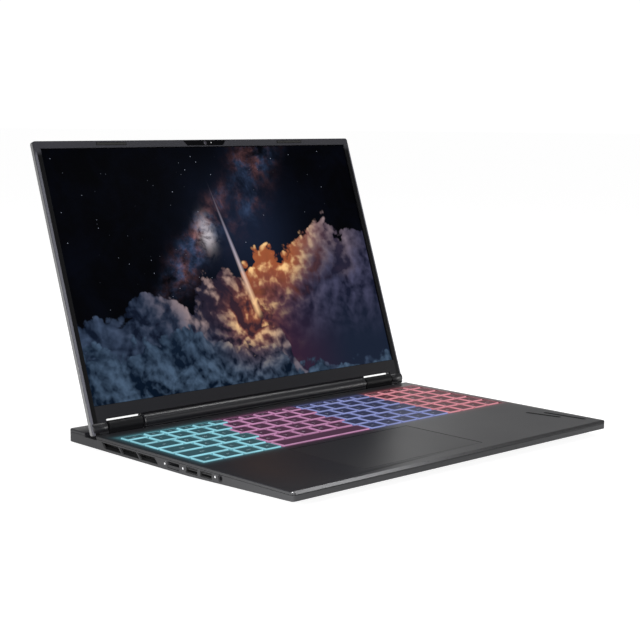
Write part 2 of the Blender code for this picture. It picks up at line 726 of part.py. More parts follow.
def make_lid():
    """Back cover, bezel, display, camera, bumpers and hinge leaves."""
    shell = plate([lid_outline(0.0)], LID_BACK, LID_WALL_FACE)
    ease_edges(shell, lambda co: co.z < LID_BACK + 0.01, 1.0)
    cover = add_object("lid_cover", finish_mesh(shell, "lid_cover"), SHELL, lid_pivot)
    half = WIDTH / 2 - WALL
    cavity = rounded(-half, half, CUTOUT_TOP + WALL, LID_TOP - WALL, LID_CORNER - WALL)
    combine(cover, plate_mesh([cavity], LID_BACK + 1.2, 3.0), parent=lid_pivot)
    combine(cover, blocks(cutout_spans()), parent=lid_pivot)
    pockets = mirrored([(110.5, CUTOUT_INNER + 0.5, -4.2, CUTOUT_TOP + WALL + 0.5, -1.6, 3.0)])
    combine(cover, blocks(pockets), parent=lid_pivot)

    front = plate([lid_outline(0.25)], BEZEL_BACK, LID_FACE)
    ease_edges(front, lambda co: co.z > LID_FACE - 0.01, 0.35, 1)
    bezel = add_object("display_bezel", finish_mesh(front, "display_bezel"), PLASTIC, lid_pivot)
    lip = blocks([(-127.9, 127.9, LID_BOTTOM + 0.4, 4.7, 2.3, 3.8)], 0.6)
    combine(bezel, lip, "UNION", lid_pivot)
    screen = (-SCREEN_HALF, SCREEN_HALF, SCREEN_BOTTOM, SCREEN_TOP)
    combine(bezel, blocks([(*screen, 0, 5)]), parent=lid_pivot)
    combine(bezel, blocks(cutout_spans()), parent=lid_pivot)
    recess = mirrored([(86.0, 117.0, 234.9, 237.5, 2.2, 5.0)])
    combine(bezel, blocks(recess), parent=lid_pivot)
    window_hole = [(-20.4, 233.6), (20.4, 233.6), (24.4, 238.4), (-24.4, 238.4)]
    combine(bezel, plate_mesh([window_hole], 2.1, 5.0), parent=lid_pivot)
    combine(bezel, rod((0, 236.0, 0), 1.7, 6.0, "Z", 20), parent=lid_pivot)

    window = [(-19.9, 233.95), (19.9, 233.95), (23.8, 238.05), (-23.8, 238.05)]
    add_object("webcam_window", plate_mesh([window], 2.4, LID_FACE), GLOSS, lid_pivot)
    webcam = add_object(
        "webcam_module", blocks([(-22.0, 22.0, 234.4, 237.3, -0.9, 1.2)]), PLASTIC, lid_pivot
    )
    combine(webcam, rod((0, 236.0, 0.5), 1.3, 1.5, "Z", 20), "UNION", lid_pivot)
    panel = (-175.2, 175.2, 9.0, 234.0, -1.1, 1.25)
    add_object("display_panel", blocks([panel]), GLASS, lid_pivot)
    for word, (x0, x1) in {"left": (-116.6, -86.4), "right": (86.4, 116.6)}.items():
        bumper = blocks([(x0, x1, 235.25, 237.15, 2.55, 3.3)])
        add_object("lid_bumper_" + word, bumper, RUBBER, lid_pivot)
    for side, word in ((-1, "left"), (1, "right")):
        arm = sorted((side * 112.0, side * 126.5))
        leaf = blocks([(arm[0], arm[1], -2.6, 8.4, -0.6, 0.6)])
        piece = add_object("hinge_leaf_" + word, leaf, STEEL, lid_pivot)
        pin_start = -138.5 if side < 0 else 125.5
        pin = rod((pin_start, 0, 0), 1.25, 13.0, segments=20)
        combine(piece, pin, "UNION", lid_pivot)


make_top_case()
make_bottom_cover()
make_feet()
make_keyboard_plate()
make_keys()
make_touchpad()
make_ports()
make_boards()
make_fins()
make_cooling()
make_fans()
make_hinge_blocks()
make_lid()
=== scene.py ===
"""Finish of a laptop computer: shells, lit keys, display, connectors and small fittings.

The fixed frame gives every place. The script dresses it with surfaces worked out on grids,
with copies of the frame's shells that have eased edges, and with finishes built from nodes.
Lengths are written in millimetres and turned into metres by MM.
"""
import json
import math

import bmesh
import bpy
import numpy as np
from mathutils import Matrix, Vector

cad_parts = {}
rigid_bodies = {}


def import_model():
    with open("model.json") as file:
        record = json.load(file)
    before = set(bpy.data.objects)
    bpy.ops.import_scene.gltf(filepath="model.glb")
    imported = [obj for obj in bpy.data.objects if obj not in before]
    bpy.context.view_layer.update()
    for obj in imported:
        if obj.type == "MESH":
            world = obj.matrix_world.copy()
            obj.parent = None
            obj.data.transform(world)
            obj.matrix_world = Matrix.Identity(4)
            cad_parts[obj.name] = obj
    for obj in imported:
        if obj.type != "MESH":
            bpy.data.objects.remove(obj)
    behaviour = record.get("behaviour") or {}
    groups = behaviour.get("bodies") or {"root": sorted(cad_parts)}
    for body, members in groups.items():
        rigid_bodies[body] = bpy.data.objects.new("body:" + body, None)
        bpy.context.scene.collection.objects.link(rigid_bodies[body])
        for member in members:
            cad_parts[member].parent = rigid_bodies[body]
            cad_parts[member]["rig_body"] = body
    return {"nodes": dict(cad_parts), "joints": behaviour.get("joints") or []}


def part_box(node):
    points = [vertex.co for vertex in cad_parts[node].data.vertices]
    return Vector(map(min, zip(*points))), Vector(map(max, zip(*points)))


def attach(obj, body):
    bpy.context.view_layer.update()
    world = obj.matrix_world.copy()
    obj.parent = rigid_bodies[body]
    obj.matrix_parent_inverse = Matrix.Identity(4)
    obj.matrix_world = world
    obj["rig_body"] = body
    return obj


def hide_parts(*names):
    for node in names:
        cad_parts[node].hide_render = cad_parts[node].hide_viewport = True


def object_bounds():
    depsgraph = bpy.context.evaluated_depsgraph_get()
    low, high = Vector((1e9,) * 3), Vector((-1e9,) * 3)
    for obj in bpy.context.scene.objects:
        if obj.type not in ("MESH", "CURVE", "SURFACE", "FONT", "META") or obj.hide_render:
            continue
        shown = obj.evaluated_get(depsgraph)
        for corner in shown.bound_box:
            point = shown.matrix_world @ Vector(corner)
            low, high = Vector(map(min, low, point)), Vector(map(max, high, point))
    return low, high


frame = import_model()

bl_info = {
    "name": "Laptop Computer Finish",
    "version": (1, 0, 0),
    "blender": (4, 5, 0),
    "location": "View3D > Sidebar > Laptop",
    "description": "Dresses the frame of a laptop computer with its visible surfaces",
    "category": "Object",
}

CAD_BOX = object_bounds()
LID_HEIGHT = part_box("lid_cover")[1].z
MM = 0.001

# The lid's own directions: ACROSS is X, UP runs along the lid and OUT is towards the user.
LID_LEAN = math.radians(19.3)
HINGE = Vector(next(j["pos_m"] for j in frame["joints"] if j["name"] == "lid_hinge"))
UP = Vector((0, math.sin(LID_LEAN), math.cos(LID_LEAN)))
OUT = Vector((0, -math.cos(LID_LEAN), math.sin(LID_LEAN)))

# Camera: where it stands, how it is turned and its lens.
CAMERA_PLACE = (-0.8308, -0.8745, 0.26936)
CAMERA_AZIMUTH = -43.44
CAMERA_ELEVATION = 8.12
CAMERA_ROLL = 0.50
CAMERA_LENS = 82.36

# Studio: how bright the walls and the ceiling are, the heights in degrees between which one
# turns into the other, and each lamp's name, place, aim, diameter and power in watts.
WALL_LIGHT = 1.05
CEILING_LIGHT = 0.20
WALL_TOP = 4.5
CEILING = 21.0
LAMPS = (
    ("overhead", (0.2, 0.2, 1.8), (0, 0, 0), 1.4, 12.0),
    ("strip", (0.40, -0.366, 0.574), (-0.15, -0.15, 0), 0.14, 0.30),
    ("ridge", (0.604, 0.235, 0.825), (0.0, 0.08, 0.02), 0.20, 1.6),
    ("left", (-0.46, -0.24, 0.13), (-0.18, -0.12, 0.03), 0.16, 1.7),
    ("front", (0.85, -0.50, 0.08), (0.17, -0.16, 0.01), 0.25, 2.4),
    ("behind", (1.04, 0.92, 0.34), (0.02, -0.05, 0.01), 0.22, 0.18),
)


def on_lid(points):
    """Turn points given as across, up and out from the hinge axis into places."""
    points = np.asarray(points, float)
    lean = np.array([(1, 0, 0), tuple(UP), tuple(OUT)])
    return points @ lean + np.array(HINGE)


# ---------------------------------------------------------------- settings


def length(name, default, text):
    """A size in metres that a user may change; the default is in millimetres."""
    return bpy.props.FloatProperty(
        name=name, description=text, default=default * MM, min=0.0, unit="LENGTH", precision=5
    )


def colour(name, default, text):
    """A linear colour that a user may change."""
    return bpy.props.FloatVectorProperty(
        name=name, description=text, default=default, size=3, min=0.0, max=4.0, subtype="COLOR"
    )


def share(name, default, text):
    """A plain number from 0 to 1 that a user may change."""
    return bpy.props.FloatProperty(
        name=name, description=text, default=default, min=0.0, max=1.0, subtype="FACTOR"
    )


class LaptopSizes(bpy.types.PropertyGroup):
    """Sizes of the small forms that are added to the frame."""

    edge: length("Edge", 0.18, "Width of the eased edges on the metal shells")
    fine_edge: length("Fine edge", 0.08, "Width of the eased edges on small parts")
    front_slope: length("Front slope", 1.9, "Width of the cut slope along the front edge")
    cap_corner: length("Key corner", 1.3, "Corner radius of a keycap")
    cap_dish: length("Key dish", 0.14, "How deep a keycap's top is hollowed")
    legend: length("Legend", 4.2, "Height of the letters on the keys")
    legend_word: length("Legend word", 2.7, "Height of the words on the keys")
    screw: length("Screw head", 4.4, "Diameter of the screw heads under the base")
    # spill is how far the painted key light on the deck reaches.
    spill: length("Light spill", 2.6, "How far the key light spreads over the deck")
    lip: length("Lid lip", 5.7, "Radius of the round lip between the hinges")


class LaptopColours(bpy.types.PropertyGroup):
    """Colours and finishes of the laptop."""

    deck: colour("Deck", (0.016, 0.016, 0.0185), "Coat of the deck")
    metal: colour("Lid metal", (0.22, 0.22, 0.225), "Satin metal of the lid's back")
    edge: colour("Cut edge", (0.15, 0.15, 0.155), "Bare metal of the cut front edge")
    cover: colour("Bottom cover", (0.040, 0.040, 0.042), "Coat of the bottom cover")
    bezel: colour("Bezel", (0.014, 0.014, 0.0165), "Plastic around the display")
    plastic: colour("Plastic", (0.012, 0.012, 0.014), "Plastic of small parts")
    keycap: colour("Keycap", (0.008, 0.009, 0.012), "Plastic of the key tops")
    zone_one: colour("Zone one", (0.17, 0.56, 0.66), "Key light at the left")
    zone_two: colour("Zone two", (0.42, 0.12, 0.30), "Key light left of the middle")
    zone_three: colour("Zone three", (0.14, 0.17, 0.46), "Key light right of the middle")
    zone_four: colour("Zone four", (0.60, 0.15, 0.19), "Key light over the number pad")
    deck_roughness: share("Deck roughness", 0.38, "Roughness of the deck")


# ---------------------------------------------------------------- surfaces


def ring_faces(rings, points):
    """Quads between closed rings of points, each ring joined to the next.

    Corner numbers are ring times points plus place, with the place wrapping round.
    """
    start = np.arange(rings - 1)[:, None] * points
    here = np.arange(points)[None, :]
    there = (here + 1) % points
    quads = [start + here, start + there, start + points + there, start + points + here]
    return np.stack(quads, -1).reshape(-1, 4)


def stack_mesh(name, shapes):
    """Mesh of closed forms; shapes is an array of form, ring, point and coordinate.

    Each form is a pile of rings, skinned from ring to ring and closed at both ends.
    """
    shapes = np.asarray(shapes, float)
    count, rings, points, _ = shapes.shape
    start = np.arange(count) * rings * points
    sides = (start[:, None, None] + ring_faces(rings, points)).reshape(-1, 4)
    foot = start[:, None] + np.arange(points)[::-1]
    head = start[:, None] + (rings - 1) * points + np.arange(points)
    mesh = bpy.data.meshes.new(name)
    mesh.from_pydata(shapes.reshape(-1, 3), [], sides.tolist() + foot.tolist() + head.tolist())
    mesh.update()
    return mesh


def rounded_rings(boxes, insets, radius, steps=3):
    """Rings of rounded rectangles: array of box, ring, point and X or Y.

    A point is its corner's centre plus the corner radius times (cos, sin) of an angle that
    sweeps a quarter turn at each corner. An inset moves all four sides in and shrinks the
    radius by the same amount, down to a fifth of it.
    """
    boxes = np.asarray(boxes, float)[:, None, None, :]
    insets = np.asarray(insets, float)[None, :, None]
    sweep = np.linspace(0, math.pi / 2, steps + 1)
    angle = (np.arange(4)[:, None] * math.pi / 2 + sweep).ravel()[None, None, :]
    bend = np.maximum(radius - insets, radius * 0.2)
    right = np.repeat([1, 0, 0, 1], steps + 1)[None, None, :]
    rear = np.repeat([1, 1, 0, 0], steps + 1)[None, None, :]
    reach = insets + bend
    x = np.where(right, boxes[..., 1] - reach, boxes[..., 0] + reach) + bend * np.cos(angle)
    y = np.where(rear, boxes[..., 3] - reach, boxes[..., 2] + reach) + bend * np.sin(angle)
    return np.stack([x, y], -1)


def turned(profile, points=24, lobes=0):
    """One turned form on the Z axis: array of ring, point and coordinate.

    The profile lists radius, height and waviness from the foot to the head. A point is
    radius times (1 + waviness times cos(lobes times angle)) at its angle.
    """
    profile = np.asarray(profile, float)
    angle = np.linspace(0, math.tau, points, endpoint=False)[None, :]
    radius = profile[:, 0:1] * (1 + profile[:, 2:3] * np.cos(lobes * angle))
    height = np.broadcast_to(profile[:, 1:2], radius.shape)
    return np.stack([radius * np.cos(angle), radius * np.sin(angle), height], -1)


def swept(profile, stations):
    """One form with the same side view all along X: array of ring, point and coordinate."""
    profile = np.asarray(profile, float)
    stations = np.asarray(stations, float)
    x = np.broadcast_to(stations[:, None], (len(stations), len(profile)))
    y = np.broadcast_to(profile[None, :, 0], x.shape)
    z = np.broadcast_to(profile[None, :, 1], x.shape)
    return np.stack([x, y, z], -1)


def arc(centre, radius, start, end, steps):
    """Points of a circular arc between two angles in degrees."""
    angle = np.radians(np.linspace(start, end, steps + 1))
    return np.stack([centre[0] + radius * np.cos(angle), centre[1] + radius * np.sin(angle)], -1)


def add_piece(name, mesh, body, finish, smooth=None):
    """Put a mesh in the scene as one piece of the laptop, riding on a body."""
    piece = bpy.data.objects.new(name, mesh)
    bpy.context.scene.collection.objects.link(piece)
    mesh.materials.clear()
    mesh.materials.append(finish)
    if smooth is not None:
        mesh.shade_smooth()
        mesh.set_sharp_from_angle(angle=math.radians(smooth))
    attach(piece, body)
    return piece


def add_bevel(piece, width, segments=2, angle=30):
    """Ease the sharp edges of a piece."""
    ease = piece.modifiers.new("eased edges", "BEVEL")
    ease.width = width
    ease.segments = segments
    ease.limit_method = "ANGLE"
    ease.angle_limit = math.radians(angle)
    ease.harden_normals = True
    ease.use_clamp_overlap = True
    return ease


def dress_node(node, name, finish, width, segments=2, angle=30):
    """Copy a frame node, weld it, ease its edges and let the copy stand for the node."""
    source = frame["nodes"][node]
    mesh = source.data.copy()
    shape = bmesh.new()
    shape.from_mesh(mesh)
    bmesh.ops.remove_doubles(shape, verts=shape.verts, dist=0.001 * MM)
    bmesh.ops.dissolve_limit(
        shape, angle_limit=math.radians(0.5), verts=shape.verts, edges=shape.edges
    )
    shape.to_mesh(mesh)
    shape.free()
    piece = add_piece(name, mesh, source["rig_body"], finish, smooth=angle)
    if width > 0:
        add_bevel(piece, width, segments, angle)
    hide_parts(node)
    return piece


def coat_node(node, finish):
    """Give a frame node that keeps its own shape a better finish."""
    materials = frame["nodes"][node].data.materials
    materials.clear()
    materials.append(finish)


# ---------------------------------------------------------------- finishes


class Number:
    """A number in a node tree, which takes part in ordinary arithmetic."""

    def __init__(self, finish, socket):
        self.finish = finish
        self.socket = socket

    def __add__(self, other):
        return self.finish.maths("ADD", self, other)

    __radd__ = __add__

    def __sub__(self, other):
        return self.finish.maths("SUBTRACT", self, other)

    def __rsub__(self, other):
        return self.finish.maths("SUBTRACT", other, self)

    def __mul__(self, other):
        return self.finish.maths("MULTIPLY", self, other)

    __rmul__ = __mul__

    def __truediv__(self, other):
        return self.finish.maths("DIVIDE", self, other)

    def __abs__(self):
        return self.finish.maths("ABSOLUTE", self)

    def __neg__(self):
        return self * -1

    def least(self, other):
        """The smaller of two numbers."""
        return self.finish.maths("MINIMUM", self, other)

    def most(self, other):
        """The larger of two numbers."""
        return self.finish.maths("MAXIMUM", self, other)

    def fade(self, low, high):
        """0 below low and 1 above high, with a smooth step between, in either order."""
        if low > high:
            return 1 - self.fade(high, low)
        made = self.finish.node(
            "ShaderNodeMapRange",
            {"interpolation_type": "SMOOTHSTEP"},
            {"Value": self, "From Min": low, "From Max": high},
        )
        return Number(self.finish, made.outputs["Result"])

    def hill(self, centre, width):
        """A bell that is 1 at the centre and falls to a third at the width."""
        away = (self - centre) / width
        return self.finish.maths("POWER", math.e, -(away * away))


class Finish:
    """A material under construction."""

    def __init__(self, name):
        self.material = bpy.data.materials.new(name)
        self.material.use_nodes = True
        self.tree = self.material.node_tree
        self.tree.nodes.clear()
        self.place = self.node("ShaderNodeTexCoord").outputs["Object"]
        self.shader = self.node("ShaderNodeBsdfPrincipled")
        self.node("ShaderNodeOutputMaterial", sockets={"Surface": self.shader.outputs["BSDF"]})

    def node(self, kind, choices=None, sockets=None):
        """Add a node: its settings first, then a value or a link for each socket."""
        made = self.tree.nodes.new(kind)
        for key, value in (choices or {}).items():
            setattr(made, key, value)
        for key, value in (sockets or {}).items():
            self.feed(made, key, value)
        return made

    def feed(self, node, key, value):
        """Give one socket a value or a link."""
        target = next(socket for socket in node.inputs if socket.identifier == key)
        if isinstance(value, Number):
            value = value.socket
        if isinstance(value, bpy.types.NodeSocket):
            self.tree.links.new(value, target)
        elif target.type == "RGBA":
            target.default_value = (*tuple(value)[:3], 1.0)
        else:
            target.default_value = value

    def maths(self, operation, *values):
        """One step of arithmetic on numbers."""
        sockets = dict(zip(("Value", "Value_001", "Value_002"), values))
        made = self.node("ShaderNodeMath", {"operation": operation}, sockets)
        return Number(self, made.outputs["Value"])

    def vectors(self, operation, *values):
        """One step of vector arithmetic."""
        sockets = dict(zip(("Vector", "Vector_001", "Vector_002"), values))
        made = self.node("ShaderNodeVectorMath", {"operation": operation}, sockets)
        return made.outputs["Vector"]

    def scaled(self, place, factor):
        """A place or a colour times a number."""
        sockets = {"Vector": place, "Scale": factor}
        return self.node("ShaderNodeVectorMath", {"operation": "SCALE"}, sockets).outputs["Vector"]

    def axes(self, place=None):
        """The three coordinates of a place."""
        made = self.node("ShaderNodeSeparateXYZ", sockets={"Vector": place or self.place})
        return [Number(self, made.outputs[key]) for key in ("X", "Y", "Z")]

    def joined(self, x, y):
        """A flat place from two numbers."""
        made = self.node("ShaderNodeCombineXYZ", sockets={"X": x, "Y": y})
        return made.outputs["Vector"]

    def stretched(self, scale):
        """The place scaled along each axis, for a pattern with a direction."""
        sockets = {"Vector": self.place, "Scale": scale}
        return self.node("ShaderNodeMapping", sockets=sockets).outputs["Vector"]

    def noise(self, scale, detail=2.0, roughness=0.5, place=None, distortion=0.0):
        """Cloudy noise from 0 to 1."""
        sockets = {
            "Vector": place or self.place,
            "Scale": scale,
            "Detail": detail,
            "Roughness": roughness,
            "Distortion": distortion,
        }
        return Number(self, self.node("ShaderNodeTexNoise", sockets=sockets).outputs[0])

    def cells(self, scale, place=None):
        """Cell pattern: distance to the nearest cell's centre, and the cell's own colour."""
        sockets = {"Vector": place or self.place, "Scale": scale}
        made = self.node("ShaderNodeTexVoronoi", sockets=sockets)
        return Number(self, made.outputs["Distance"]), made.outputs["Color"]

    def blend(self, factor, first, second, kind="MIX"):
        """Mix two colours."""
        made = self.node(
            "ShaderNodeMix",
            {"data_type": "RGBA", "blend_type": kind},
            {"Factor_Float": factor, "A_Color": first, "B_Color": second},
        )
        return next(s for s in made.outputs if s.identifier == "Result_Color")

    def bump(self, height, distance):
        """Surface relief from a height between 0 and 1, its full depth in metres."""
        sockets = {"Height": height, "Distance": distance}
        return self.node("ShaderNodeBump", sockets=sockets).outputs["Normal"]

    def done(self, **sockets):
        """Feed the surface shader and give back the finished material."""
        for key, value in sockets.items():
            title = key.replace("_", " ").title()
            self.feed(self.shader, "Specular IOR Level" if key == "specular" else title, value)
        return self.material


def tint(base, factor):
    """A colour made lighter or darker."""
    return tuple(min(4.0, channel * factor) for channel in base)


def settings():
    """The sizes and colours that the user has set."""
    return bpy.context.scene.laptop_sizes, bpy.context.scene.laptop_colours


def finish_once(name, make):
    """A finish that several pieces share, made the first time it is asked for.

    Its name starts with fine_ because the frame brings plain materials under the short names.
    """
    own_name = "fine_" + name
    return bpy.data.materials.get(own_name) or make(own_name)


# Where the key light changes colour: place on X at the middle of the keyboard and its slant.
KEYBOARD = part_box("keyboard_plate")
KEYBOARD_MIDDLE = (KEYBOARD[0].y + KEYBOARD[1].y) / 2
ZONE_EDGES = ((-82.0, 0.19), (12.0, 0.10), (102.4, 0.0))


def zone_colours():
    """The four key light colours from left to right."""
    colours = settings()[1]
    return [tuple(getattr(colours, "zone_" + key)) for key in ("one", "two", "three", "four")]


def zone_light(finish, softness):
    """Key light colour at a place on the deck, blended over each edge between zones."""
    x, y, _ = finish.axes()
    light, *others = zone_colours()
    for (edge, slant), colour_after in zip(ZONE_EDGES, others):
        away = x - (y - KEYBOARD_MIDDLE) * slant
        step = away.fade((edge - softness) * MM, (edge + softness) * MM)
        light = finish.blend(step, light, colour_after)
    return light


def patterned(name, pattern, shades, roughness, relief=0.0, **sockets):
    """Finish whose colour, roughness and relief all follow one noise pattern.

    The pattern is its scale, detail, roughness and, for lines, its stretch along each axis.
    Roughness is its value where the pattern is 0 and how much it grows to where it is 1.
    """
    finish = Finish(name)
    scale, detail, rough, *stretch = pattern
    place = finish.stretched(stretch[0]) if stretch else None
    grain = finish.noise(scale, detail, rough, place=place)
    if relief > 0:
        sockets["normal"] = finish.bump(grain, relief * MM)
    return finish.done(
        base_color=finish.blend(grain, *shades),
        roughness=grain * roughness[1] + roughness[0],
        **sockets,
    )


MOULDED = (2600.0, 3.0, 0.6)
DRAWN = (300.0, 3.0, 0.6, (0.6, 14.0, 14.0))
TOOLED = (500.0, 3.0, 0.6, (0.3, 9.0, 9.0))
PRINTED = (2200.0, 2.0, 0.6)


def make_satin_metal(name):
    """Blasted and dyed metal with a fine grain and a faint cloudiness."""
    colours = settings()[1]
    finish = Finish(name)
    cloud = finish.noise(9.0, 3.0, 0.55)
    grain = finish.noise(5200.0, 2.0, 0.6)
    lines = finish.noise(420.0, 3.0, 0.6, place=finish.stretched((0.35, 7.0, 7.0)))
    base = finish.blend(cloud.fade(0.3, 0.7), tint(colours.metal, 0.88), tint(colours.metal, 1.12))
    return finish.done(
        base_color=finish.blend(grain * 0.3, base, tint(colours.metal, 1.5)),
        roughness=0.40 + (cloud - 0.5) * 0.1 + (lines - 0.5) * 0.12,
        metallic=0.85,
        specular=0.3,
        normal=finish.bump(grain * 0.6 + lines * 0.4, 0.006 * MM),
    )


def make_cut_edge(name):
    """Bare metal where a cutter has run along the edge, with its fine tool lines."""
    edge = settings()[1].edge
    shades = (tint(edge, 0.8), tint(edge, 1.15))
    return patterned(name, TOOLED, shades, (0.24, 0.1), 0.002, metallic=1.0)


def make_deck_metal(name):
    """Coated metal of the deck, with painted key light: a glow painted into its emission round the
    keyboard, standing in for the light that spills from the keys.
    """
    sizes, colours = settings()
    finish = Finish(name)
    x, y, _ = finish.axes()
    cloud = finish.noise(9.0, 3.0, 0.55)
    grain = finish.noise(5200.0, 2.0, 0.6)
    base = finish.blend(cloud.fade(0.3, 0.7), tint(colours.deck, 0.9), tint(colours.deck, 1.14))
    # Painted key light: the deck glows in the zone colours, fading with distance past the keyboard's
    # edge.
    low, high = KEYBOARD
    middle = (low + high) / 2
    half = (high - low) / 2 - Vector((1.4, 1.4, 0)) * MM
    beside = (abs(x - middle.x) - half.x).most(0.0)
    along = (abs(y - middle.y) - half.y).most(0.0)
    away = finish.maths("SQRT", beside * beside + along * along)
    spill = finish.maths("POWER", math.e, away / -sizes.spill)
    return finish.done(
        base_color=finish.blend(grain * 0.35, base, tint(colours.deck, 1.7)),
        roughness=colours.deck_roughness + (cloud - 0.5) * 0.1 + (grain - 0.5) * 0.1,
        metallic=0.2,
        specular=0.14,
        normal=finish.bump(grain, 0.006 * MM),
        emission_color=finish.scaled(zone_light(finish, 4.0), spill * 0.22),
        emission_strength=1.0,
    )


def make_cover_coat(name):
    """Coat of the bottom cover: a little rougher than the deck, with a fine texture."""
    colours = settings()[1]
    finish = Finish(name)
    cloud = finish.noise(14.0, 3.0, 0.5)
    grain = finish.noise(3600.0, 3.0, 0.6)
    pits, _ = finish.cells(1800.0)
    base = finish.blend(cloud, tint(colours.cover, 0.85), tint(colours.cover, 1.15))
    return finish.done(
        base_color=finish.blend(grain * 0.4, base, tint(colours.cover, 1.6)),
        roughness=0.55 + (grain - 0.5) * 0.16,
        metallic=0.1,
        specular=0.12,
        normal=finish.bump(grain * 0.6 + pits * 0.4, 0.012 * MM),
    )


def make_bezel_plastic(name):
    """Matt moulded plastic with a spark-eroded texture, and painted light: a lighter strip along the
    top, a painted highlight on the outer rim at each side and a painted shade band just inside the rim.
    """
    colours = settings()[1]
    finish = Finish(name)
    grain = finish.noise(4200.0, 3.0, 0.65)
    cloud = finish.noise(11.0, 2.0, 0.5)
    x, _, z = finish.axes()
    base = finish.blend(grain, tint(colours.bezel, 0.75), tint(colours.bezel, 1.25))
    # Painted light: the strip along the top is painted lighter.
    top = z.fade(LID_HEIGHT - 12 * MM, LID_HEIGHT - 7 * MM)
    # Painted shade: a darker band just inside the outer rim.
    painted_shade_band = abs(x).fade(172 * MM, 172.8 * MM) * z.fade(LID_HEIGHT - 8 * MM, LID_HEIGHT - 9 * MM)
    # Painted highlight: the outer rim at each side is painted lighter.
    rim = abs(x).fade(176.2 * MM, 176.8 * MM)
    base = finish.blend(rim, base, tint(colours.bezel, 7.0))
    with_shade_band = finish.blend(painted_shade_band * (1 - rim), base, tint(colours.bezel, 0.2))
    return finish.done(
        base_color=finish.blend(top, with_shade_band, tint(colours.bezel, 2.6)),
        roughness=0.5 + (cloud - 0.5) * 0.1 + (grain - 0.5) * 0.12,
        specular=0.08,
        normal=finish.bump(grain, 0.01 * MM),
    )


def make_barrel_coat(name):
    """Dull black coat of the hinge barrels."""
    plastic = settings()[1].plastic
    shades = (tint(plastic, 0.3), tint(plastic, 0.7))
    return patterned(name, MOULDED, shades, (0.38, 0.2), 0.008, specular=0.1)


def make_lip_coat(name):
    """Satin coat of the round lip, which holds a soft highlight along its length."""
    colours = settings()[1]
    finish = Finish(name)
    grain = finish.noise(4200.0, 3.0, 0.65)
    cloud = finish.noise(16.0, 2.0, 0.5)
    return finish.done(
        base_color=finish.blend(grain, tint(colours.bezel, 0.6), tint(colours.bezel, 1.0)),
        roughness=0.34 + (cloud - 0.5) * 0.08 + (grain - 0.5) * 0.08,
        specular=0.3,
        normal=finish.bump(grain, 0.006 * MM),
    )


def make_black_plastic(name):
    """Plain black plastic of sockets, fans and small parts."""
    plastic = settings()[1].plastic
    shades = (tint(plastic, 0.7), tint(plastic, 1.5))
    return patterned(name, MOULDED, shades, (0.32, 0.2), 0.008, specular=0.35)


def make_keycap(name):
    """Dark key top with side walls of clear plastic that carry the key light; painted key light also
    covers the whole cap faintly and the top's outer band, whitened at the rim as a painted highlight.
    """
    colours = settings()[1]
    finish = Finish(name)
    glow = Number(finish, finish.node("ShaderNodeAttribute", {"attribute_name": "glow"}).outputs["Fac"])
    light = finish.node("ShaderNodeAttribute", {"attribute_name": "light"}).outputs["Color"]
    grain = finish.noise(3800.0, 2.0, 0.6)
    uneven = finish.noise(55.0, 3.0, 0.6).fade(0.25, 0.75)
    # Painted key light: a faint glow over the whole cap and over the top's outer band, besides the
    # clear sides.
    strength = glow * (0.70 + uneven * 0.34) + 0.13
    # Painted highlight: the glow whitens where it is strongest.
    pale = finish.blend(glow * glow * 0.10, light, (0.85, 0.95, 1.0))
    top = finish.blend(grain, tint(colours.keycap, 0.8), tint(colours.keycap, 1.3))
    return finish.done(
        base_color=finish.blend(glow * 0.5, top, (0.12, 0.12, 0.13)),
        roughness=0.5 + (grain - 0.5) * 0.14,
        specular=0.1,
        normal=finish.bump(grain, 0.008 * MM),
        emission_color=finish.scaled(pale, strength),
        emission_strength=1.0,
    )


def make_legend_ink(name):
    """Clear lettering in a key top, lit from below."""
    finish = Finish(name)
    light = finish.node("ShaderNodeAttribute", {"attribute_name": "light"}).outputs["Color"]
    uneven = finish.noise(900.0, 2.0, 0.5)
    pale = finish.blend(0.35, light, (0.6, 0.65, 0.7))
    return finish.done(
        base_color=finish.blend(uneven, (0.10, 0.10, 0.11), (0.16, 0.16, 0.17)),
        roughness=0.45 + uneven * 0.1,
        specular=0.2,
        emission_color=finish.scaled(pale, 0.35 + uneven * 0.2),
        emission_strength=1.0,
    )


def make_backlight(name):
    """Diffusing sheet under the keys, brightest over its lamps."""
    finish = Finish(name)
    lamps, _ = finish.cells(90.0)
    glow = 0.20 + lamps.fade(0.7, 0.1) * 0.12
    return finish.done(
        base_color=finish.blend(lamps, (0.25, 0.25, 0.27), (0.4, 0.4, 0.42)),
        roughness=0.6 + lamps * 0.1,
        emission_color=finish.scaled(zone_light(finish, 3.0), glow),
        emission_strength=1.0,
    )


def make_touchpad_coat(name):
    """Etched glass of the touchpad: finer and smoother than the deck."""
    colours = settings()[1]
    finish = Finish(name)
    grain = finish.noise(7000.0, 2.0, 0.5)
    cloud = finish.noise(12.0, 2.0, 0.5)
    return finish.done(
        base_color=finish.blend(cloud, tint(colours.deck, 0.82), tint(colours.deck, 1.0)),
        roughness=0.42 + (cloud - 0.5) * 0.08 + (grain - 0.5) * 0.08,
        metallic=0.2,
        specular=0.24,
        normal=finish.bump(grain, 0.003 * MM),
    )


def make_steel(name):
    """Drawn steel with fine lines along its length."""
    shades = ((0.34, 0.34, 0.35), (0.62, 0.62, 0.63))
    return patterned(name, DRAWN, shades, (0.26, 0.2), 0.004, metallic=1.0)


def make_dark_steel(name):
    """Dark steel of the socket shells and the cooling fins; on the fins the dark colour is painted
    shade, standing for the shade deep inside the vents.
    """
    shades = ((0.020, 0.020, 0.021), (0.055, 0.055, 0.056))
    return patterned(name, DRAWN, shades, (0.36, 0.2), 0.004, metallic=0.8)


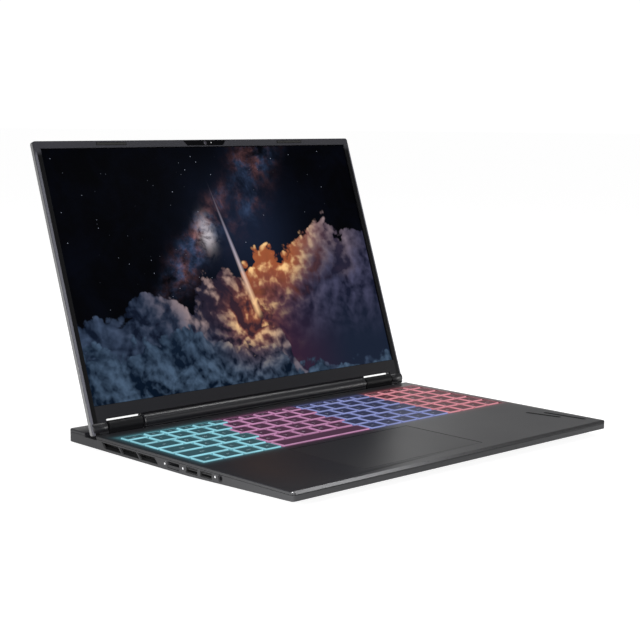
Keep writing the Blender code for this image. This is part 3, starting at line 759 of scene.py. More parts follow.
def make_copper(name):
    """Copper with a thin brown tarnish in patches."""
    finish = Finish(name)
    tarnish = finish.noise(120.0, 5.0, 0.6).fade(0.4, 0.7)
    lines = finish.noise(260.0, 3.0, 0.6, place=finish.stretched((1.0, 9.0, 9.0)))
    return finish.done(
        base_color=finish.blend(tarnish, (0.66, 0.30, 0.17), (0.30, 0.12, 0.07)),
        roughness=0.28 + tarnish * 0.22 + (lines - 0.5) * 0.1,
        metallic=1.0,
        normal=finish.bump(lines, 0.006 * MM),
    )


def make_board(name):
    """Circuit board: dark mask over copper tracks, with pads and vias."""
    finish = Finish(name)
    tracks = finish.node(
        "ShaderNodeTexBrick",
        {"offset": 0.35},
        {
            "Vector": finish.place,
            "Scale": 160.0,
            "Mortar Size": 0.08,
            "Brick Width": 0.9,
            "Row Height": 0.22,
            "Color1": (0.006, 0.020, 0.014),
            "Color2": (0.008, 0.026, 0.018),
            "Mortar": (0.014, 0.048, 0.032),
        },
    )
    dots, _ = finish.cells(520.0)
    via = dots.fade(0.16, 0.1)
    return finish.done(
        base_color=finish.blend(via * 0.7, tracks.outputs["Color"], (0.42, 0.36, 0.2)),
        roughness=0.32 + via * 0.1,
        metallic=via * 0.8,
        normal=finish.bump(Number(finish, tracks.outputs["Fac"]), 0.01 * MM),
    )


def make_rubber(name):
    """Soft black rubber with a dusty bloom."""
    finish = Finish(name)
    bloom = finish.noise(260.0, 4.0, 0.6)
    pores = finish.noise(2400.0, 2.0, 0.5)
    return finish.done(
        base_color=finish.blend(bloom, (0.011, 0.011, 0.011), (0.032, 0.032, 0.031)),
        roughness=0.78 + bloom * 0.15,
        specular=0.25,
        normal=finish.bump(pores, 0.02 * MM),
    )


def make_wrap(name):
    """Black film round the battery, with the seams between its cells."""
    finish = Finish(name)
    x, _, _ = finish.axes()
    seam = abs(finish.maths("PINGPONG", x, 28 * MM)).fade(0.9 * MM, 0.0)
    wrinkle = finish.noise(90.0, 5.0, 0.6)
    return finish.done(
        base_color=finish.blend(seam, (0.022, 0.022, 0.024), (0.008, 0.008, 0.009)),
        roughness=0.36 + wrinkle * 0.18,
        specular=0.4,
        normal=finish.bump(wrinkle - seam, 0.08 * MM),
    )


def make_gloss(name):
    """Polished black window."""
    shades = ((0.0025, 0.0025, 0.003), (0.005, 0.005, 0.006))
    return patterned(name, (60.0, 2.0, 0.5), shades, (0.3, 0.05), specular=0.003)


def make_lens(name):
    """Coated lens: near black, with a violet bloom at its middle."""
    shades = ((0.006, 0.004, 0.016), (0.014, 0.008, 0.03))
    pattern = (1500.0, 2.0, 0.5)
    return patterned(name, pattern, shades, (0.05, 0.03), specular=0.6, coat_weight=0.6)


def make_mark_ink(name):
    """Pale printed ink."""
    return patterned(name, PRINTED, ((0.42, 0.42, 0.43), (0.7, 0.7, 0.71)), (0.6, 0.1))


def make_dark_ink(name):
    """Matt dark printed ink."""
    shades = ((0.004, 0.004, 0.005), (0.009, 0.009, 0.010))
    return patterned(name, PRINTED, shades, (0.6, 0.1), specular=0.05)


# ---------------------------------------------------------------- display picture

# Picture coordinates: u runs from -0.8 to 0.8 across and v from 0 to 1 up, in equal units.
PICTURE_LOW = 17.4
PICTURE_TALL = 215.5
PICTURE_HALF_WIDTH = 172.4
GLOW_HIGH = (0.22, 0.48)
GLOW_LOW = (0.05, 0.27)
PALE_DUST = (-0.09, 0.63)
STREAK_TOP = (-0.035, 0.87)
STREAK_END = (0.095, 0.27)
# Share of the height in each layer of domes, and how far towards the light they are compared.
DOME_PARTS = (0.50, 0.26, 0.15, 0.09)
LIGHT_STEP = 0.16
# Banks of cloud from the farthest to the nearest: shift of the pattern, domes per unit, skyline
# as points from left to right, how far domes break the skyline, and the place of the light.
BANKS = (
    ((3.1, 1.7), 5.0, ((-0.12, 0.02), (0.06, 0.44), (0.28, 0.52), (0.55, 0.60)), 0.34, (0.16, 0.66)),
    ((0.4, 5.2), 5.5, ((-0.80, 0.30), (-0.35, 0.36), (-0.05, 0.42), (0.16, 0.27), (0.3, 0.0)),
     0.30, (0.16, 0.50)),
    ((7.3, 2.9), 6.5, ((-0.80, 0.20), (-0.30, 0.22), (0.05, 0.12), (0.4, 0.0)), 0.24, (0.0, 0.60)),
)


def heaps(finish, place, size):
    """Height of heaped cloud: domes on domes, each layer about half the size of the last.

    A dome is one minus the square of the distance to its cell's centre.
    """
    stir = finish.node(
        "ShaderNodeTexNoise", sockets={"Vector": place, "Scale": size * 0.9, "Detail": 4.0}
    ).outputs["Color"]
    moved = finish.vectors("MULTIPLY_ADD", stir, (0.5 / size, 0.5 / size, 0.0), place)
    height = 0.0
    for octave, part in enumerate(DOME_PARTS):
        away, _ = finish.cells(size * 2.1**octave, place=moved)
        height = height + (1 - away * away) * part
    return height


def cloud_bank(finish, place, u, v, bank):
    """One bank of cloud: how solid it is, how much its domes face the light, and its depth.

    The light on a dome is its height less the height a short step nearer to the glow.
    """
    shift, size, skyline, rag, light = bank
    own = finish.vectors("ADD", place, (*shift, 0.0))
    height = heaps(finish, own, size)
    light_u = light[0] - u
    light_v = light[1] - v
    reach = finish.maths("SQRT", light_u * light_u + light_v * light_v + 0.01)
    step = LIGHT_STEP / size
    towards = finish.joined(light_u / reach * step, light_v / reach * step)
    ahead = heaps(finish, finish.vectors("ADD", own, towards), size)
    line = skyline[0][1]
    for (u0, v0), (u1, v1) in zip(skyline, skyline[1:]):
        line = line + u.fade(u0, u1) * (v1 - v0)
    below = line + (height - 0.62) * rag - v
    slope = ((height - ahead) * 3.3 + 0.38).most(0.0).least(1.0)
    return below.fade(-0.004, 0.016), slope, below


def near(u, v, spot, radius):
    """A soft round spot of light."""
    return u.hill(spot[0], radius) * v.hill(spot[1], radius)


def sky_colour(finish, place, u, v):
    """Night sky: faint stars, a lit patch of dust and a wisp that climbs out of view."""
    dust = finish.noise(6.0, 8.0, 0.62, place=place, distortion=0.35)
    fine = finish.noise(17.0, 6.0, 0.65, place=place, distortion=0.5)
    left = (v - 0.62 - (u + 0.12) * 0.95).hill(0.0, 0.075) * u.hill(-0.16, 0.17)
    top = (u - 0.17 - (v - 0.8) * 0.55).hill(0.0, 0.09) * v.fade(0.50, 0.92)
    wisp = (left * 1.25 + top * 0.8) * dust.fade(0.36, 0.74) * (0.35 + fine.fade(0.35, 0.7))
    tone = finish.noise(9.0, 4.0, 0.6, place=place)
    deep = finish.blend(dust.fade(0.35, 0.8) * 0.7, (0.0004, 0.0005, 0.0010), (0.0014, 0.0022, 0.006))
    lit = finish.blend(tone.fade(0.40, 0.60), (0.08, 0.13, 0.27), (0.30, 0.13, 0.13))
    near_dust, pick = finish.cells(46.0, place=place)
    red = finish.axes(pick)[0]
    stars = near_dust.fade(0.11, 0.02) * red.fade(0.80, 1.0)
    haze = near(u, v, (0.12, 0.62), 0.24)
    sky = finish.blend(haze * 0.5, deep, (0.016, 0.026, 0.060))
    sky = finish.blend(wisp.least(1.0), sky, lit)
    patch = u.hill(PALE_DUST[0], 0.035) * v.hill(PALE_DUST[1], 0.055)
    core = patch * fine.fade(0.34, 0.60)
    sky = finish.blend(core.least(1.0), sky, (0.60, 0.56, 0.60))
    return finish.blend(stars * 0.8, sky, (0.55, 0.60, 0.75), "ADD")


def far_bank_colour(finish, u, v, slope, below):
    """The far bank: a golden crest over a slate body that darkens to wine red below."""
    crest = below.fade(0.24, 0.0)
    body = finish.blend(slope, (0.008, 0.010, 0.026), (0.066, 0.066, 0.125))
    low = finish.blend(u.fade(0.15, 0.6), (0.034, 0.014, 0.034), (0.010, 0.016, 0.034))
    body = finish.blend(v.fade(0.40, 0.08), body, low)
    gold = finish.blend(slope.fade(0.35, 0.95), (0.30, 0.085, 0.035), (1.0, 0.66, 0.30))
    dusk = finish.blend(slope, (0.05, 0.035, 0.06), (0.42, 0.30, 0.30))
    rim = finish.blend(u.fade(0.30, 0.62), gold, dusk)
    return finish.blend(crest * u.fade(0.84, 0.45), body, rim)


def middle_bank_colour(finish, u, v, slope, below):
    """The middle bank: dusky rose where it faces the glow, blue where it turns away."""
    crest = below.fade(0.26, 0.0)
    body = finish.blend(slope, (0.004, 0.008, 0.020), (0.045, 0.070, 0.125))
    rose = finish.blend(slope.fade(0.25, 1.0), (0.018, 0.014, 0.028), (0.50, 0.34, 0.31))
    return finish.blend(crest * u.hill(-0.06, 0.27), body, rose)


def near_bank_colour(finish, u, v, slope, below):
    """The near bank: cold blue puffs with pale tops."""
    puff = finish.blend(slope, (0.0015, 0.006, 0.016), (0.070, 0.115, 0.185))
    return finish.blend(v.fade(0.0, 0.2) * 0.25, puff, (0.012, 0.024, 0.05))


def clouds(finish, place, u, v, sky):
    """All banks laid over the sky from the farthest to the nearest, lit by the two glows."""
    paints = (far_bank_colour, middle_bank_colour, near_bank_colour)
    view = sky
    for bank, paint in zip(BANKS, paints):
        solid, slope, below = cloud_bank(finish, place, u, v, bank)
        skin = paint(finish, u, v, slope, below)
        high = near(u, v, GLOW_HIGH, 0.13)
        low = near(u, v, GLOW_LOW, 0.13)
        warm = (high + low) * (0.08 + slope * 1.1)
        heat = finish.blend(slope.fade(0.3, 0.9), (0.42, 0.10, 0.035), (1.0, 0.60, 0.26))
        view = finish.blend(solid, view, finish.blend(warm.least(1.0), skin, heat))
    return view


def streak_light(u, v):
    """A falling star: a thin bright path that widens towards its head."""
    across = STREAK_END[0] - STREAK_TOP[0]
    along = STREAK_END[1] - STREAK_TOP[1]
    size = math.hypot(across, along)
    step = ((u - STREAK_TOP[0]) * across + (v - STREAK_TOP[1]) * along) / size**2
    side = abs((u - STREAK_TOP[0]) * along - (v - STREAK_TOP[1]) * across) / size
    width = step * 0.020 + 0.0015
    core = (1 - side / width).most(0.0)
    return core * step.fade(0.0, 0.75) * step.fade(1.03, 0.96), step


def make_picture(name):
    """Display showing a generic night sky over clouds, behind matt glass."""
    finish = Finish(name)
    x, y, z = finish.axes()
    up = (y - HINGE.y) * UP.y + (z - HINGE.z) * UP.z
    u = x / (PICTURE_TALL * MM)
    v = (up - PICTURE_LOW * MM) / (PICTURE_TALL * MM)
    place = finish.joined(u, v)
    scene = clouds(finish, place, u, v, sky_colour(finish, place, u, v))
    streak, step = streak_light(u, v)
    flare = finish.blend(step.fade(0.45, 1.0), (0.55, 0.50, 0.62), (1.0, 0.62, 0.30))
    lit = finish.blend(streak * 0.85, scene, flare)
    half_u = PICTURE_HALF_WIDTH / PICTURE_TALL
    inside = (half_u - abs(u)).fade(0.0, 0.004) * v.fade(0.0, 0.004) * v.fade(1.0, 0.996)
    return finish.done(
        base_color=(0.0008, 0.0008, 0.001),
        roughness=0.28,
        specular=0.004,
        emission_color=finish.scaled(lit, inside),
        emission_strength=1.0,
    )


# ---------------------------------------------------------------- keys

KEY_BODIES = {
    "keys_bottom_row": "ctrl fn opt alt alt ctrl < v > 0 . + enter",
    "keys_shift_row": "shift Z X C V B N M , . / ^ shift 1 2 3 +",
    "keys_home_row": "caps A S D F G H J K L ; ' 4 5 6 +",
    "keys_tab_row": "tab Q W E R T Y U I O P [ ] \\ 7 8 9 -",
    "keys_number_row": "` 1 2 3 4 5 6 7 8 9 0 - = num / * -",
    "keys_function_row": "F1 F2 F3 F4 F5 F6 F7 F8 F9 F10 F11 F12 prt ins del home end pg",
    "key_space": "",
    "key_enter": "enter",
    "key_backspace": "back",
    "key_escape": "esc",
    "key_power": "o",
}
CAP_DRAFT = 0.5
# Points of two keys lie further apart than this on X, in millimetres.
KEY_GAP = 2.4
# Rings of a keycap from foot to middle: inset in millimetres, height as a share of the way up
# for the side and as a share of the dish for the hollow, and how much key light each carries.
CAP_INSETS = (0.15, 0.0, 0.22, 0.42, 0.62, 0.95, 1.5, 2.6, 3.9)
CAP_SIDE = (0.0, 0.1, 0.62, 0.9, 0.985, 1.0)
CAP_HOLLOW = (0.25, 0.75, 1.0)
# On the top's outer rings this key light is painted, a painted glow round each key top.
CAP_GLOW = (0.35, 0.6, 0.9, 1.0, 1.0, 0.62, 0.10, 0.0, 0.0)


def key_tops(node):
    """Boxes of the flat key tops in a frame node, from left to right, and their height."""
    mesh = frame["nodes"][node].data
    corners = np.zeros(len(mesh.vertices) * 3)
    mesh.vertices.foreach_get("co", corners)
    corners = corners.reshape(-1, 3)
    top = corners[:, 2].max()
    high = corners[corners[:, 2] > top - 0.05 * MM]
    order = high[np.argsort(high[:, 0])]
    gaps = np.flatnonzero(np.diff(order[:, 0]) > KEY_GAP * MM)
    edges = [(group[:, 0].min(), group[:, 0].max()) for group in np.split(order, gaps + 1)]
    if len(edges) > 1 and max(right - left for left, right in edges) < 1 * MM:
        sides = [edge[0] for edge in edges]
        edges = list(zip(sides[0::2], sides[1::2]))
    y0 = high[:, 1].min()
    y1 = high[:, 1].max()
    return [(left, right, y0, y1) for left, right in edges], top


def zone_of(x, y):
    """Number of the light zone that a key's middle lies in."""
    away = [x - (y - KEYBOARD_MIDDLE) * slant - edge * MM for edge, slant in ZONE_EDGES]
    return sum(step > 0 for step in away)


def paint_points(mesh, name, kind, values):
    """Store one value for each point of a mesh."""
    layer = mesh.attributes.new(name, kind, "POINT")
    field = "color" if kind == "FLOAT_COLOR" else "value"
    layer.data.foreach_set(field, np.ascontiguousarray(values, dtype=np.float32).ravel())


def make_caps(node):
    """Keycaps of one body: rounded stacks of rings with hollowed tops and clear sides."""
    sizes = settings()[0]
    tops, top = key_tops(node)
    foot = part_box(node)[0].z
    spread = CAP_DRAFT * MM
    boxes = [(a - spread, b + spread, c - spread, d + spread) for a, b, c, d in tops]
    rings = rounded_rings(boxes, np.array(CAP_INSETS) * MM, sizes.cap_corner)
    side = foot + (top - foot) * np.array(CAP_SIDE)
    heights = np.concatenate([side, top - sizes.cap_dish * np.array(CAP_HOLLOW)])
    shapes = np.zeros((*rings.shape[:3], 3))
    shapes[..., :2] = rings
    shapes[..., 2] = heights[None, :, None]
    mesh = stack_mesh(node + "_caps", shapes)
    glow = np.broadcast_to(np.array(CAP_GLOW)[None, :, None], rings.shape[:3])
    paint_points(mesh, "glow", "FLOAT", glow)
    paint_points(mesh, "light", "FLOAT_COLOR", key_lights(boxes, rings.shape[1] * rings.shape[2]))
    finish = finish_once("keycap_clear_sided", make_keycap)
    piece = add_piece(node + "_caps", mesh, node, finish, smooth=50)
    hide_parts(node)
    return boxes, top


def key_lights(boxes, points):
    """Light colour of every point of every key, from the key's zone."""
    zones = zone_colours()
    rows = []
    for x0, x1, y0, y1 in boxes:
        rows.append((*zones[zone_of((x0 + x1) / 2, (y0 + y1) / 2)], 1.0))
    return np.repeat(np.array(rows), points, axis=0)


def glyph_mesh(word, height):
    """Mesh of a word as a thin closed solid, its middle at the origin."""
    curve = bpy.data.curves.new("glyph", "FONT")
    curve.body = word
    curve.size = height
    curve.resolution_u = 2
    curve.extrude = 0.02 * MM
    curve.align_x = "CENTER"
    curve.align_y = "CENTER"
    holder = bpy.data.objects.new("glyph", curve)
    bpy.context.scene.collection.objects.link(holder)
    bpy.context.view_layer.update()
    graph = bpy.context.evaluated_depsgraph_get()
    mesh = bpy.data.meshes.new_from_object(holder.evaluated_get(graph))
    bpy.data.objects.remove(holder)
    bpy.data.curves.remove(curve)
    return mesh


def make_legends(node, words, boxes, top):
    """Lettering of one body's keys, standing a hair proud of the hollowed tops."""
    sizes = settings()[0]
    shape = bmesh.new()
    lights = []
    level = top - sizes.cap_dish * 0.85
    for (x0, x1, y0, y1), word in zip(boxes, words):
        single = len(word) == 1
        mesh = glyph_mesh(word, sizes.legend if single else sizes.legend_word)
        reach = min(0.5, 1.9 * MM / (x1 - x0)) if single else 0.0
        place = Vector(((x0 + x1) / 2 - reach * (x1 - x0), (y0 + y1) / 2, level))
        mesh.transform(Matrix.Translation(place))
        shape.from_mesh(mesh)
        zone = zone_colours()[zone_of((x0 + x1) / 2, (y0 + y1) / 2)]
        lights.extend([(*zone, 1.0)] * (len(shape.verts) - len(lights)))
        bpy.data.meshes.remove(mesh)
    joined = bpy.data.meshes.new(node + "_legends")
    shape.to_mesh(joined)
    shape.free()
    paint_points(joined, "light", "FLOAT_COLOR", lights)
    finish = finish_once("legend_ink", make_legend_ink)
    add_piece(node + "_legends", joined, node, finish)


# ---------------------------------------------------------------- operators


class LAPTOP_OT_stage(bpy.types.Operator):
    """Add the pale floor, the soft studio light and the camera."""

    bl_idname = "laptop.stage"
    bl_label = "Stage"

    def execute(self, context):
        self.add_floor()
        self.add_world()
        self.add_lights()
        self.add_camera()
        return {"FINISHED"}

    def add_floor(self):
        """A disc whose radius grows ring by ring, just below the feet."""
        rings = np.array([0.02, 1.0, 3.0, 8.0, 20.0])
        angle = np.linspace(0, math.tau, 64, endpoint=False)
        x = rings[:, None] * np.cos(angle)
        y = rings[:, None] * np.sin(angle)
        z = np.full(x.shape, CAD_BOX[0].z - 0.02 * MM)
        points = np.stack([x, y, z], -1).reshape(-1, 3)
        faces = ring_faces(len(rings), len(angle))[:, ::-1].tolist()
        faces.append(list(range(len(angle))))
        mesh = bpy.data.meshes.new("floor")
        mesh.from_pydata(points, [], faces)
        floor = bpy.data.objects.new("floor", mesh)
        bpy.context.scene.collection.objects.link(floor)
        finish = Finish("pale_floor")
        cloud = finish.noise(1.5, 2.0, 0.5)
        paint = finish.done(
            base_color=finish.blend(cloud, (0.36, 0.36, 0.36), (0.38, 0.38, 0.38)),
            roughness=0.9 + cloud * 0.05,
            specular=0.0,
            emission_color=(1.0, 1.0, 1.0),
            emission_strength=0.90,
        )
        mesh.materials.append(paint)

    def add_world(self):
        """White light from the walls that fades to a grey ceiling."""
        world = bpy.data.worlds.new("studio")
        world.use_nodes = True
        tree = world.node_tree
        place = tree.nodes.new("ShaderNodeTexCoord")
        split = tree.nodes.new("ShaderNodeSeparateXYZ")
        rise = tree.nodes.new("ShaderNodeMapRange")
        rise.interpolation_type = "SMOOTHSTEP"
        rise.inputs["From Min"].default_value = math.sin(math.radians(WALL_TOP))
        rise.inputs["From Max"].default_value = math.sin(math.radians(CEILING))
        rise.inputs["To Min"].default_value = WALL_LIGHT
        rise.inputs["To Max"].default_value = CEILING_LIGHT
        tree.links.new(place.outputs["Generated"], split.inputs["Vector"])
        tree.links.new(split.outputs["Z"], rise.inputs["Value"])
        back = tree.nodes["Background"]
        back.inputs["Color"].default_value = (1, 1, 1, 1)
        tree.links.new(rise.outputs["Result"], back.inputs["Strength"])
        bpy.context.scene.world = world

    def add_lights(self):
        """Round soft lamps that the camera doesn't see: over, beside, before and behind."""
        for name, place, aim, size, power in LAMPS:
            lamp = bpy.data.lights.new(name, "AREA")
            lamp.shape = "DISK"
            lamp.size = size
            lamp.energy = power
            holder = bpy.data.objects.new(name, lamp)
            holder.location = place
            turn = (Vector(aim) - Vector(place)).to_track_quat("-Z", "Y")
            holder.rotation_euler = turn.to_euler()
            holder.visible_camera = False
            bpy.context.scene.collection.objects.link(holder)

    def add_camera(self):
        """Camera at the height of a seated user's eyes, off to the left."""
        azimuth = math.radians(CAMERA_AZIMUTH)
        elevation = math.radians(CAMERA_ELEVATION)
        back = Vector((
            math.sin(azimuth) * math.cos(elevation),
            -math.cos(azimuth) * math.cos(elevation),
            math.sin(elevation),
        ))
        right = Vector((0, 0, 1)).cross(back).normalized()
        turn = Matrix((right, back.cross(right), back)).transposed()
        turn = turn @ Matrix.Rotation(math.radians(CAMERA_ROLL), 3, "Z")
        camera = bpy.data.cameras.new("camera")
        camera.lens = CAMERA_LENS
        camera.sensor_width = 36.0
        camera.clip_start = 0.01
        camera.clip_end = 100.0
        holder = bpy.data.objects.new("camera", camera)
        holder.matrix_world = Matrix.Translation(CAMERA_PLACE) @ turn.to_4x4()
        bpy.context.scene.collection.objects.link(holder)
        bpy.context.scene.camera = holder


# Printed bars on the right palm rest: inwards from the right side, back from the front, half
# length and turn in degrees, then half the width and the corner radius of both.
PALM_BARS = ((22.0, 49.0, 16.5, -78.0), (11.5, 34.5, 20.5, -84.0))
PALM_HALF_WIDTH = 2.1
PALM_CORNER = 1.9
# The deck's corners begin this far from its sides, and its eased edge is narrower than this.
CORNER_START = 2.5
EASED = 0.7


class LAPTOP_OT_base_shell(bpy.types.Operator):
    """Dress the deck, the bottom cover and the touchpad."""

    bl_idname = "laptop.base_shell"
    bl_label = "Base shell"

    def execute(self, context):
        sizes = settings()[0]
        deck = finish_once("deck_metal", make_deck_metal)
        cover = finish_once("cover_coat", make_cover_coat)
        shell = dress_node("top_case", "deck_shell", deck, 0.0)
        self.cut_front_edge(shell.data)
        dress_node("bottom_cover", "bottom_shell", cover, sizes.edge)
        pad = finish_once("touchpad_coat", make_touchpad_coat)
        dress_node("touchpad", "touchpad_plate", pad, sizes.edge * 1.6)
        self.add_palm_bars()
        return {"FINISHED"}

    def add_palm_bars(self):
        """Two slim printed bars on the right palm rest, each a rounded strip laid flat.

        A strip is a rounded rectangle turned about its middle by its own angle.
        """
        low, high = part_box("top_case")
        deck = high.z
        forms = []
        for x, y, reach, turn in PALM_BARS:
            box = np.array([(-reach, reach, -PALM_HALF_WIDTH, PALM_HALF_WIDTH)]) * MM
            ring = rounded_rings(box, (0.0, 0.0), PALM_CORNER * MM)[0]
            angle = math.radians(turn)
            cos, sin = math.cos(angle), math.sin(angle)
            spin = np.array([(cos, sin), (-sin, cos)])
            form = np.zeros((*ring.shape[:2], 3))
            form[..., :2] = ring @ spin + np.array((high.x - x * MM, low.y + y * MM))
            form[..., 2] = deck + np.array((-0.02, 0.03))[:, None] * MM
            forms.append(form)
        ink = finish_once("dark_ink", make_dark_ink)
        add_piece("palm_bars", stack_mesh("palm_bars", forms), "base", ink)

    def cut_front_edge(self, mesh):
        """Cut a slope along the deck's front edge, bare metal, and coat the upright sides.

        A point of the eased edge lies A back from the front and B below the top. It moves to
        the slope's width times A / (A + B) back and times B / (A + B) below.
        """
        metal, coat = 1, 2
        mesh.materials.append(finish_once("cut_edge", make_cut_edge))
        mesh.materials.append(finish_once("cover_coat", make_cover_coat))
        low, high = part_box("top_case")
        slope = settings()[0].front_slope
        middle = (low + high) / 2
        points = np.zeros(len(mesh.vertices) * 3)
        mesh.vertices.foreach_get("co", points)
        points = points.reshape(-1, 3)
        back = points[:, 1] - low.y
        below = high.z - points[:, 2]
        straight = abs(points[:, 0] - middle.x) < high.x - middle.x - CORNER_START * MM
        eased = straight & (np.maximum(back, below) < EASED * MM)
        total = np.maximum(back + below, 0.001 * MM)
        points[eased, 1] = low.y + (slope * back / total)[eased]
        points[eased, 2] = high.z - (slope * below / total)[eased]
        mesh.vertices.foreach_set("co", points.ravel())
        mesh.attributes.remove(mesh.attributes["custom_normal"])
        mesh.update()
        mesh.set_sharp_from_angle(angle=math.radians(30))
        reach = (high - low) / 2 - Vector((2, 2, 0)) * MM
        for face in mesh.polygons:
            away = face.center - middle
            outer = abs(away.x) > reach.x or abs(away.y) > reach.y
            if abs(face.normal.z) < 0.15 and outer:
                face.material_index = coat
            if 0.15 < face.normal.z < 0.95 and face.center.y < low.y + 3 * MM:
                face.material_index = metal


class LAPTOP_OT_keys(bpy.types.Operator):
    """Make the keycaps and their lettering, and light the sheet below them."""

    bl_idname = "laptop.keys"
    bl_label = "Keys"

    def execute(self, context):
        coat_node("keyboard_plate", finish_once("backlight_sheet", make_backlight))
        for node, words in KEY_BODIES.items():
            boxes, top = make_caps(node)
            legends = words.split()
            if legends:
                make_legends(node, legends, boxes, top)
        return {"FINISHED"}


class LAPTOP_OT_lid(bpy.types.Operator):
    """Dress the lid: its back, the frame round the display, the bumpers and the hinge barrels."""

    bl_idname = "laptop.lid"
    bl_label = "Lid"

    def execute(self, context):
        sizes = settings()[0]
        metal = finish_once("satin_metal", make_satin_metal)
        bezel = finish_once("bezel_plastic", make_bezel_plastic)
        rubber = finish_once("rubber", make_rubber)
        dress_node("lid_cover", "lid_back", metal, sizes.edge)
        dress_node("display_bezel", "display_frame", bezel, sizes.edge)
        barrel = finish_once("barrel_coat", make_barrel_coat)
        for side in ("left", "right"):
            dress_node("lid_bumper_" + side, "bumper_" + side, rubber, 0.3 * MM)
            name = "hinge_barrel_" + side
            dress_node("hinge_block_" + side, name, barrel, sizes.edge)
        return {"FINISHED"}


class LAPTOP_OT_lip(bpy.types.Operator):
    """Make the round lip along the lid's lower end, between the hinges and outside them."""

    bl_idname = "laptop.lip"
    bl_label = "Lip"

    def execute(self, context):
        radius = settings()[0].lip
        gap = 1.6 * MM
        ease = 0.6 * MM
        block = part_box("hinge_block_right")
        reach = block[0].x - gap
        inner = block[1].x + gap
        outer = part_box("lid_cover")[1].x - ease
        bend = arc((0, 0), radius, 24, 156, 20)
        slimmer = bend * np.array((0.86, 0.8))
        shrink = np.array([0.7, 0.9, 1.0, 1.0, 0.9, 0.7])[:, None, None]
        forms = []
        for low, high, profile in ((-reach, reach, bend), (inner, outer, slimmer),
                                   (-outer, -inner, slimmer)):
            forms.append(swept(profile, (low, low, low + ease, high - ease, high, high)))
        forms = np.array(forms)
        forms[..., 1:] *= shrink
        mesh = stack_mesh("lid_lip", on_lid(forms))
        finish = finish_once("lip_coat", make_lip_coat)
        add_piece("lid_lip", mesh, "lid", finish, smooth=40)
        return {"FINISHED"}


class LAPTOP_OT_display(bpy.types.Operator):
    """Give the display its picture."""

    bl_idname = "laptop.display"
    bl_label = "Display"

    def execute(self, context):
        coat_node("display_panel", finish_once("display_picture", make_picture))
        return {"FINISHED"}


class LAPTOP_OT_webcam(bpy.types.Operator):
    """Dress the webcam window and set its lens and indicator in it."""

    bl_idname = "laptop.webcam"
    bl_label = "Webcam"
    # How far up the lid the lens sits, and how far out the window's face is, in millimetres.
    lens_up = 236.0
    window_face = 2.93

    def execute(self, context):
        gloss = finish_once("gloss_black", make_gloss)
        dress_node("webcam_window", "webcam_glass", gloss, 0.06 * MM)
        ring = turned(np.array([(1.9, 0.0, 0), (1.9, 0.05, 0), (1.75, 0.1, 0), (1.45, 0.1, 0),
                                (1.35, 0.04, 0), (1.1, 0.035, 0)]) * MM, 32)
        lens = turned(np.array([(1.3, 0.0, 0), (1.3, 0.03, 0), (1.05, 0.1, 0), (0.7, 0.16, 0),
                                (0.3, 0.19, 0)]) * MM, 32)
        lamp = turned(np.array([(0.5, 0.0, 0), (0.5, 0.03, 0), (0.3, 0.06, 0)]) * MM, 16)
        fittings = (
            ("webcam_ring", ring, 0.0, "black_plastic", "black_plastic", make_black_plastic),
            ("webcam_lens", lens, 0.0, "gloss_black", "lens_coat", make_lens),
            ("webcam_indicator", lamp, 7.0, "gloss_black", "mark_ink", make_mark_ink),
        )
        for name, form, across, slot, title, make in fittings:
            placed = form + np.array([across, self.lens_up, self.window_face]) * MM
            mesh = stack_mesh(name, on_lid(placed)[None])
            add_piece(name, mesh, "lid", finish_once(title, make), smooth=40)
        return {"FINISHED"}


class LAPTOP_OT_ports(bpy.types.Operator):
    """Dress the connectors and print a small mark beside them."""

    bl_idname = "laptop.ports"
    bl_label = "Ports"

    def execute(self, context):
        sizes = settings()[0]
        steel = finish_once("dark_steel", make_dark_steel)
        plastic = finish_once("black_plastic", make_black_plastic)
        metal_ports = ("usb_a_left_rear", "usb_a_left_front", "usb_a_right", "card_slot",
                       "hdmi_port", "usb_c_port")
        for node in metal_ports:
            dress_node(node, node + "_shell", steel, sizes.fine_edge)
        for node in ("ethernet_port", "ethernet_door", "audio_jack", "power_jack"):
            dress_node(node, node + "_body", plastic, sizes.fine_edge)
        self.add_marks()
        return {"FINISHED"}

    def add_marks(self):
        """Round printed dots on the left wall, one by each group of sockets."""
        disc = turned(np.array([(0.85, 0.0, 0), (0.85, 0.03, 0), (0.7, 0.05, 0)]) * MM, 20)
        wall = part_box("bottom_cover")[0].x
        forms = []
        for node, beside in (("ethernet_port", 3.6), ("usb_a_left_rear", 4.0), ("audio_jack", 3.6)):
            low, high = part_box(node)
            place = np.array([wall, high.y + beside * MM, (low.z + high.z) / 2])
            forms.append(np.stack([-disc[..., 2], -disc[..., 0], disc[..., 1]], -1) + place)
        mesh = stack_mesh("socket_marks", np.array(forms))
        add_piece("socket_marks", mesh, "base", finish_once("mark_ink", make_mark_ink))


# Screws of the bottom cover, from its middle: columns, rows and the two between them.
SCREWS_ACROSS = (-150.0, 0.0, 150.0)
SCREWS_ALONG = (-116.0, 0.0, 117.0)
SCREWS_INNER = ((-78.0, -30.0), (78.0, -30.0))


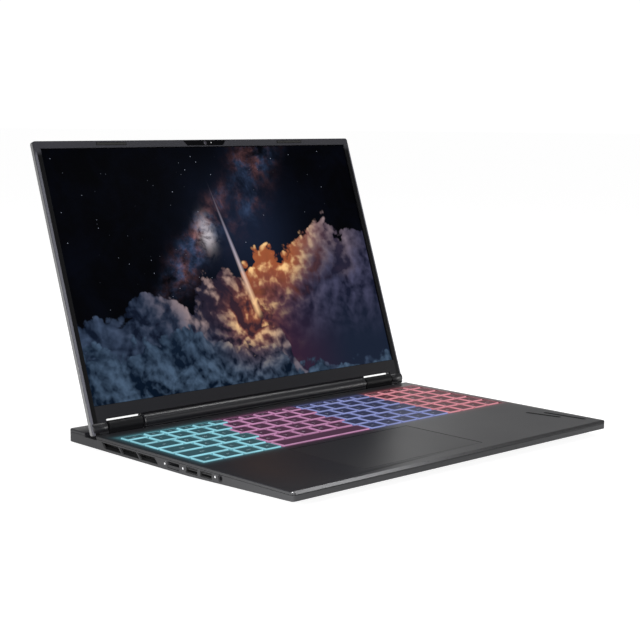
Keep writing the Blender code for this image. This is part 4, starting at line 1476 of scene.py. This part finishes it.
class LAPTOP_OT_underside(bpy.types.Operator):
    """Dress the feet and set the screws that hold the bottom cover."""

    bl_idname = "laptop.underside"
    bl_label = "Underside"

    def execute(self, context):
        sizes = settings()[0]
        rubber = finish_once("rubber", make_rubber)
        for node in ("foot_front_left", "foot_front_right", "foot_rear_left", "foot_rear_right"):
            dress_node(node, node + "_pad", rubber, 0.35 * MM, 3)
        radius = sizes.screw / 2
        profile = np.array([
            (radius, 0.0, 0), (radius, 0.25 * MM, 0), (radius * 0.86, 0.42 * MM, 0),
            (radius * 0.56, 0.42 * MM, 0), (radius * 0.5, 0.38 * MM, 0.14),
            (radius * 0.47, 0.08 * MM, 0.14),
        ])
        head = turned(profile, 36, 6) * np.array([1, -1, -1])
        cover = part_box("bottom_cover")
        middle_y = (cover[0].y + cover[1].y) / 2
        places = [(x, y) for x in SCREWS_ACROSS for y in SCREWS_ALONG] + list(SCREWS_INNER)
        foot = np.array([0.0, middle_y, cover[0].z + 0.02 * MM])
        forms = [head + foot + np.array([x, y, 0.0]) * MM for x, y in places]
        mesh = stack_mesh("cover_screws", forms)
        steel = finish_once("drawn_steel", make_steel)
        add_piece("cover_screws", mesh, "base", steel, smooth=40)
        return {"FINISHED"}


class LAPTOP_OT_inside(bpy.types.Operator):
    """Give the parts inside their finishes."""

    bl_idname = "laptop.inside"
    bl_label = "Inside"

    def execute(self, context):
        finishes = [
            ("circuit_board", make_board, ("motherboard", "memory_module", "ssd", "wifi_card")),
            ("battery_wrap", make_wrap, ("battery",)),
            ("copper", make_copper, ("heatsink",)),
            ("black_plastic", make_black_plastic, ("webcam_module",)),
        ]
        pairs = (
            ("copper", make_copper, ("heat_pipe_",)),
            # Painted shade: the fin stacks are coated dark as the shade deep inside the vents.
            ("dark_steel", make_dark_steel, ("fin_stack_side_", "fin_stack_rear_")),
            ("black_plastic", make_black_plastic, ("fan_housing_", "fan_rotor_", "speaker_")),
            ("drawn_steel", make_steel, ("hinge_leaf_",)),
        )
        for title, make, nodes in pairs:
            both = [node + side for side in ("left", "right") for node in nodes]
            finishes.append((title, make, both))
        for title, make, nodes in finishes:
            for node in nodes:
                coat_node(node, finish_once(title, make))
        return {"FINISHED"}


STEPS = (
    LAPTOP_OT_stage,
    LAPTOP_OT_base_shell,
    LAPTOP_OT_keys,
    LAPTOP_OT_lid,
    LAPTOP_OT_lip,
    LAPTOP_OT_display,
    LAPTOP_OT_webcam,
    LAPTOP_OT_ports,
    LAPTOP_OT_underside,
    LAPTOP_OT_inside,
)


class LAPTOP_PT_panel(bpy.types.Panel):
    """Sizes, colours and steps of the laptop's finish."""

    bl_idname = "LAPTOP_PT_panel"
    bl_label = "Laptop Computer"
    bl_space_type = "VIEW_3D"
    bl_region_type = "UI"
    bl_category = "Laptop"

    def draw(self, context):
        column = self.layout.column()
        for group in (context.scene.laptop_sizes, context.scene.laptop_colours):
            for name in group.__annotations__:
                column.prop(group, name)
        for step in STEPS:
            column.operator(step.bl_idname)


def register():
    """Make the settings, the steps and the panel known to Blender."""
    for group in (LaptopSizes, LaptopColours, *STEPS, LAPTOP_PT_panel):
        bpy.utils.register_class(group)
    bpy.types.Scene.laptop_sizes = bpy.props.PointerProperty(type=LaptopSizes)
    bpy.types.Scene.laptop_colours = bpy.props.PointerProperty(type=LaptopColours)


def unregister():
    """Take them away again."""
    del bpy.types.Scene.laptop_colours
    del bpy.types.Scene.laptop_sizes
    for group in (LAPTOP_PT_panel, *reversed(STEPS), LaptopColours, LaptopSizes):
        bpy.utils.unregister_class(group)


def main():
    """Run every step in order."""
    register()
    bpy.context.scene.view_settings.view_transform = "Standard"
    for step in STEPS:
        group, name = step.bl_idname.split(".")
        getattr(getattr(bpy.ops, group), name)()


if __name__ == "__main__":
    main()
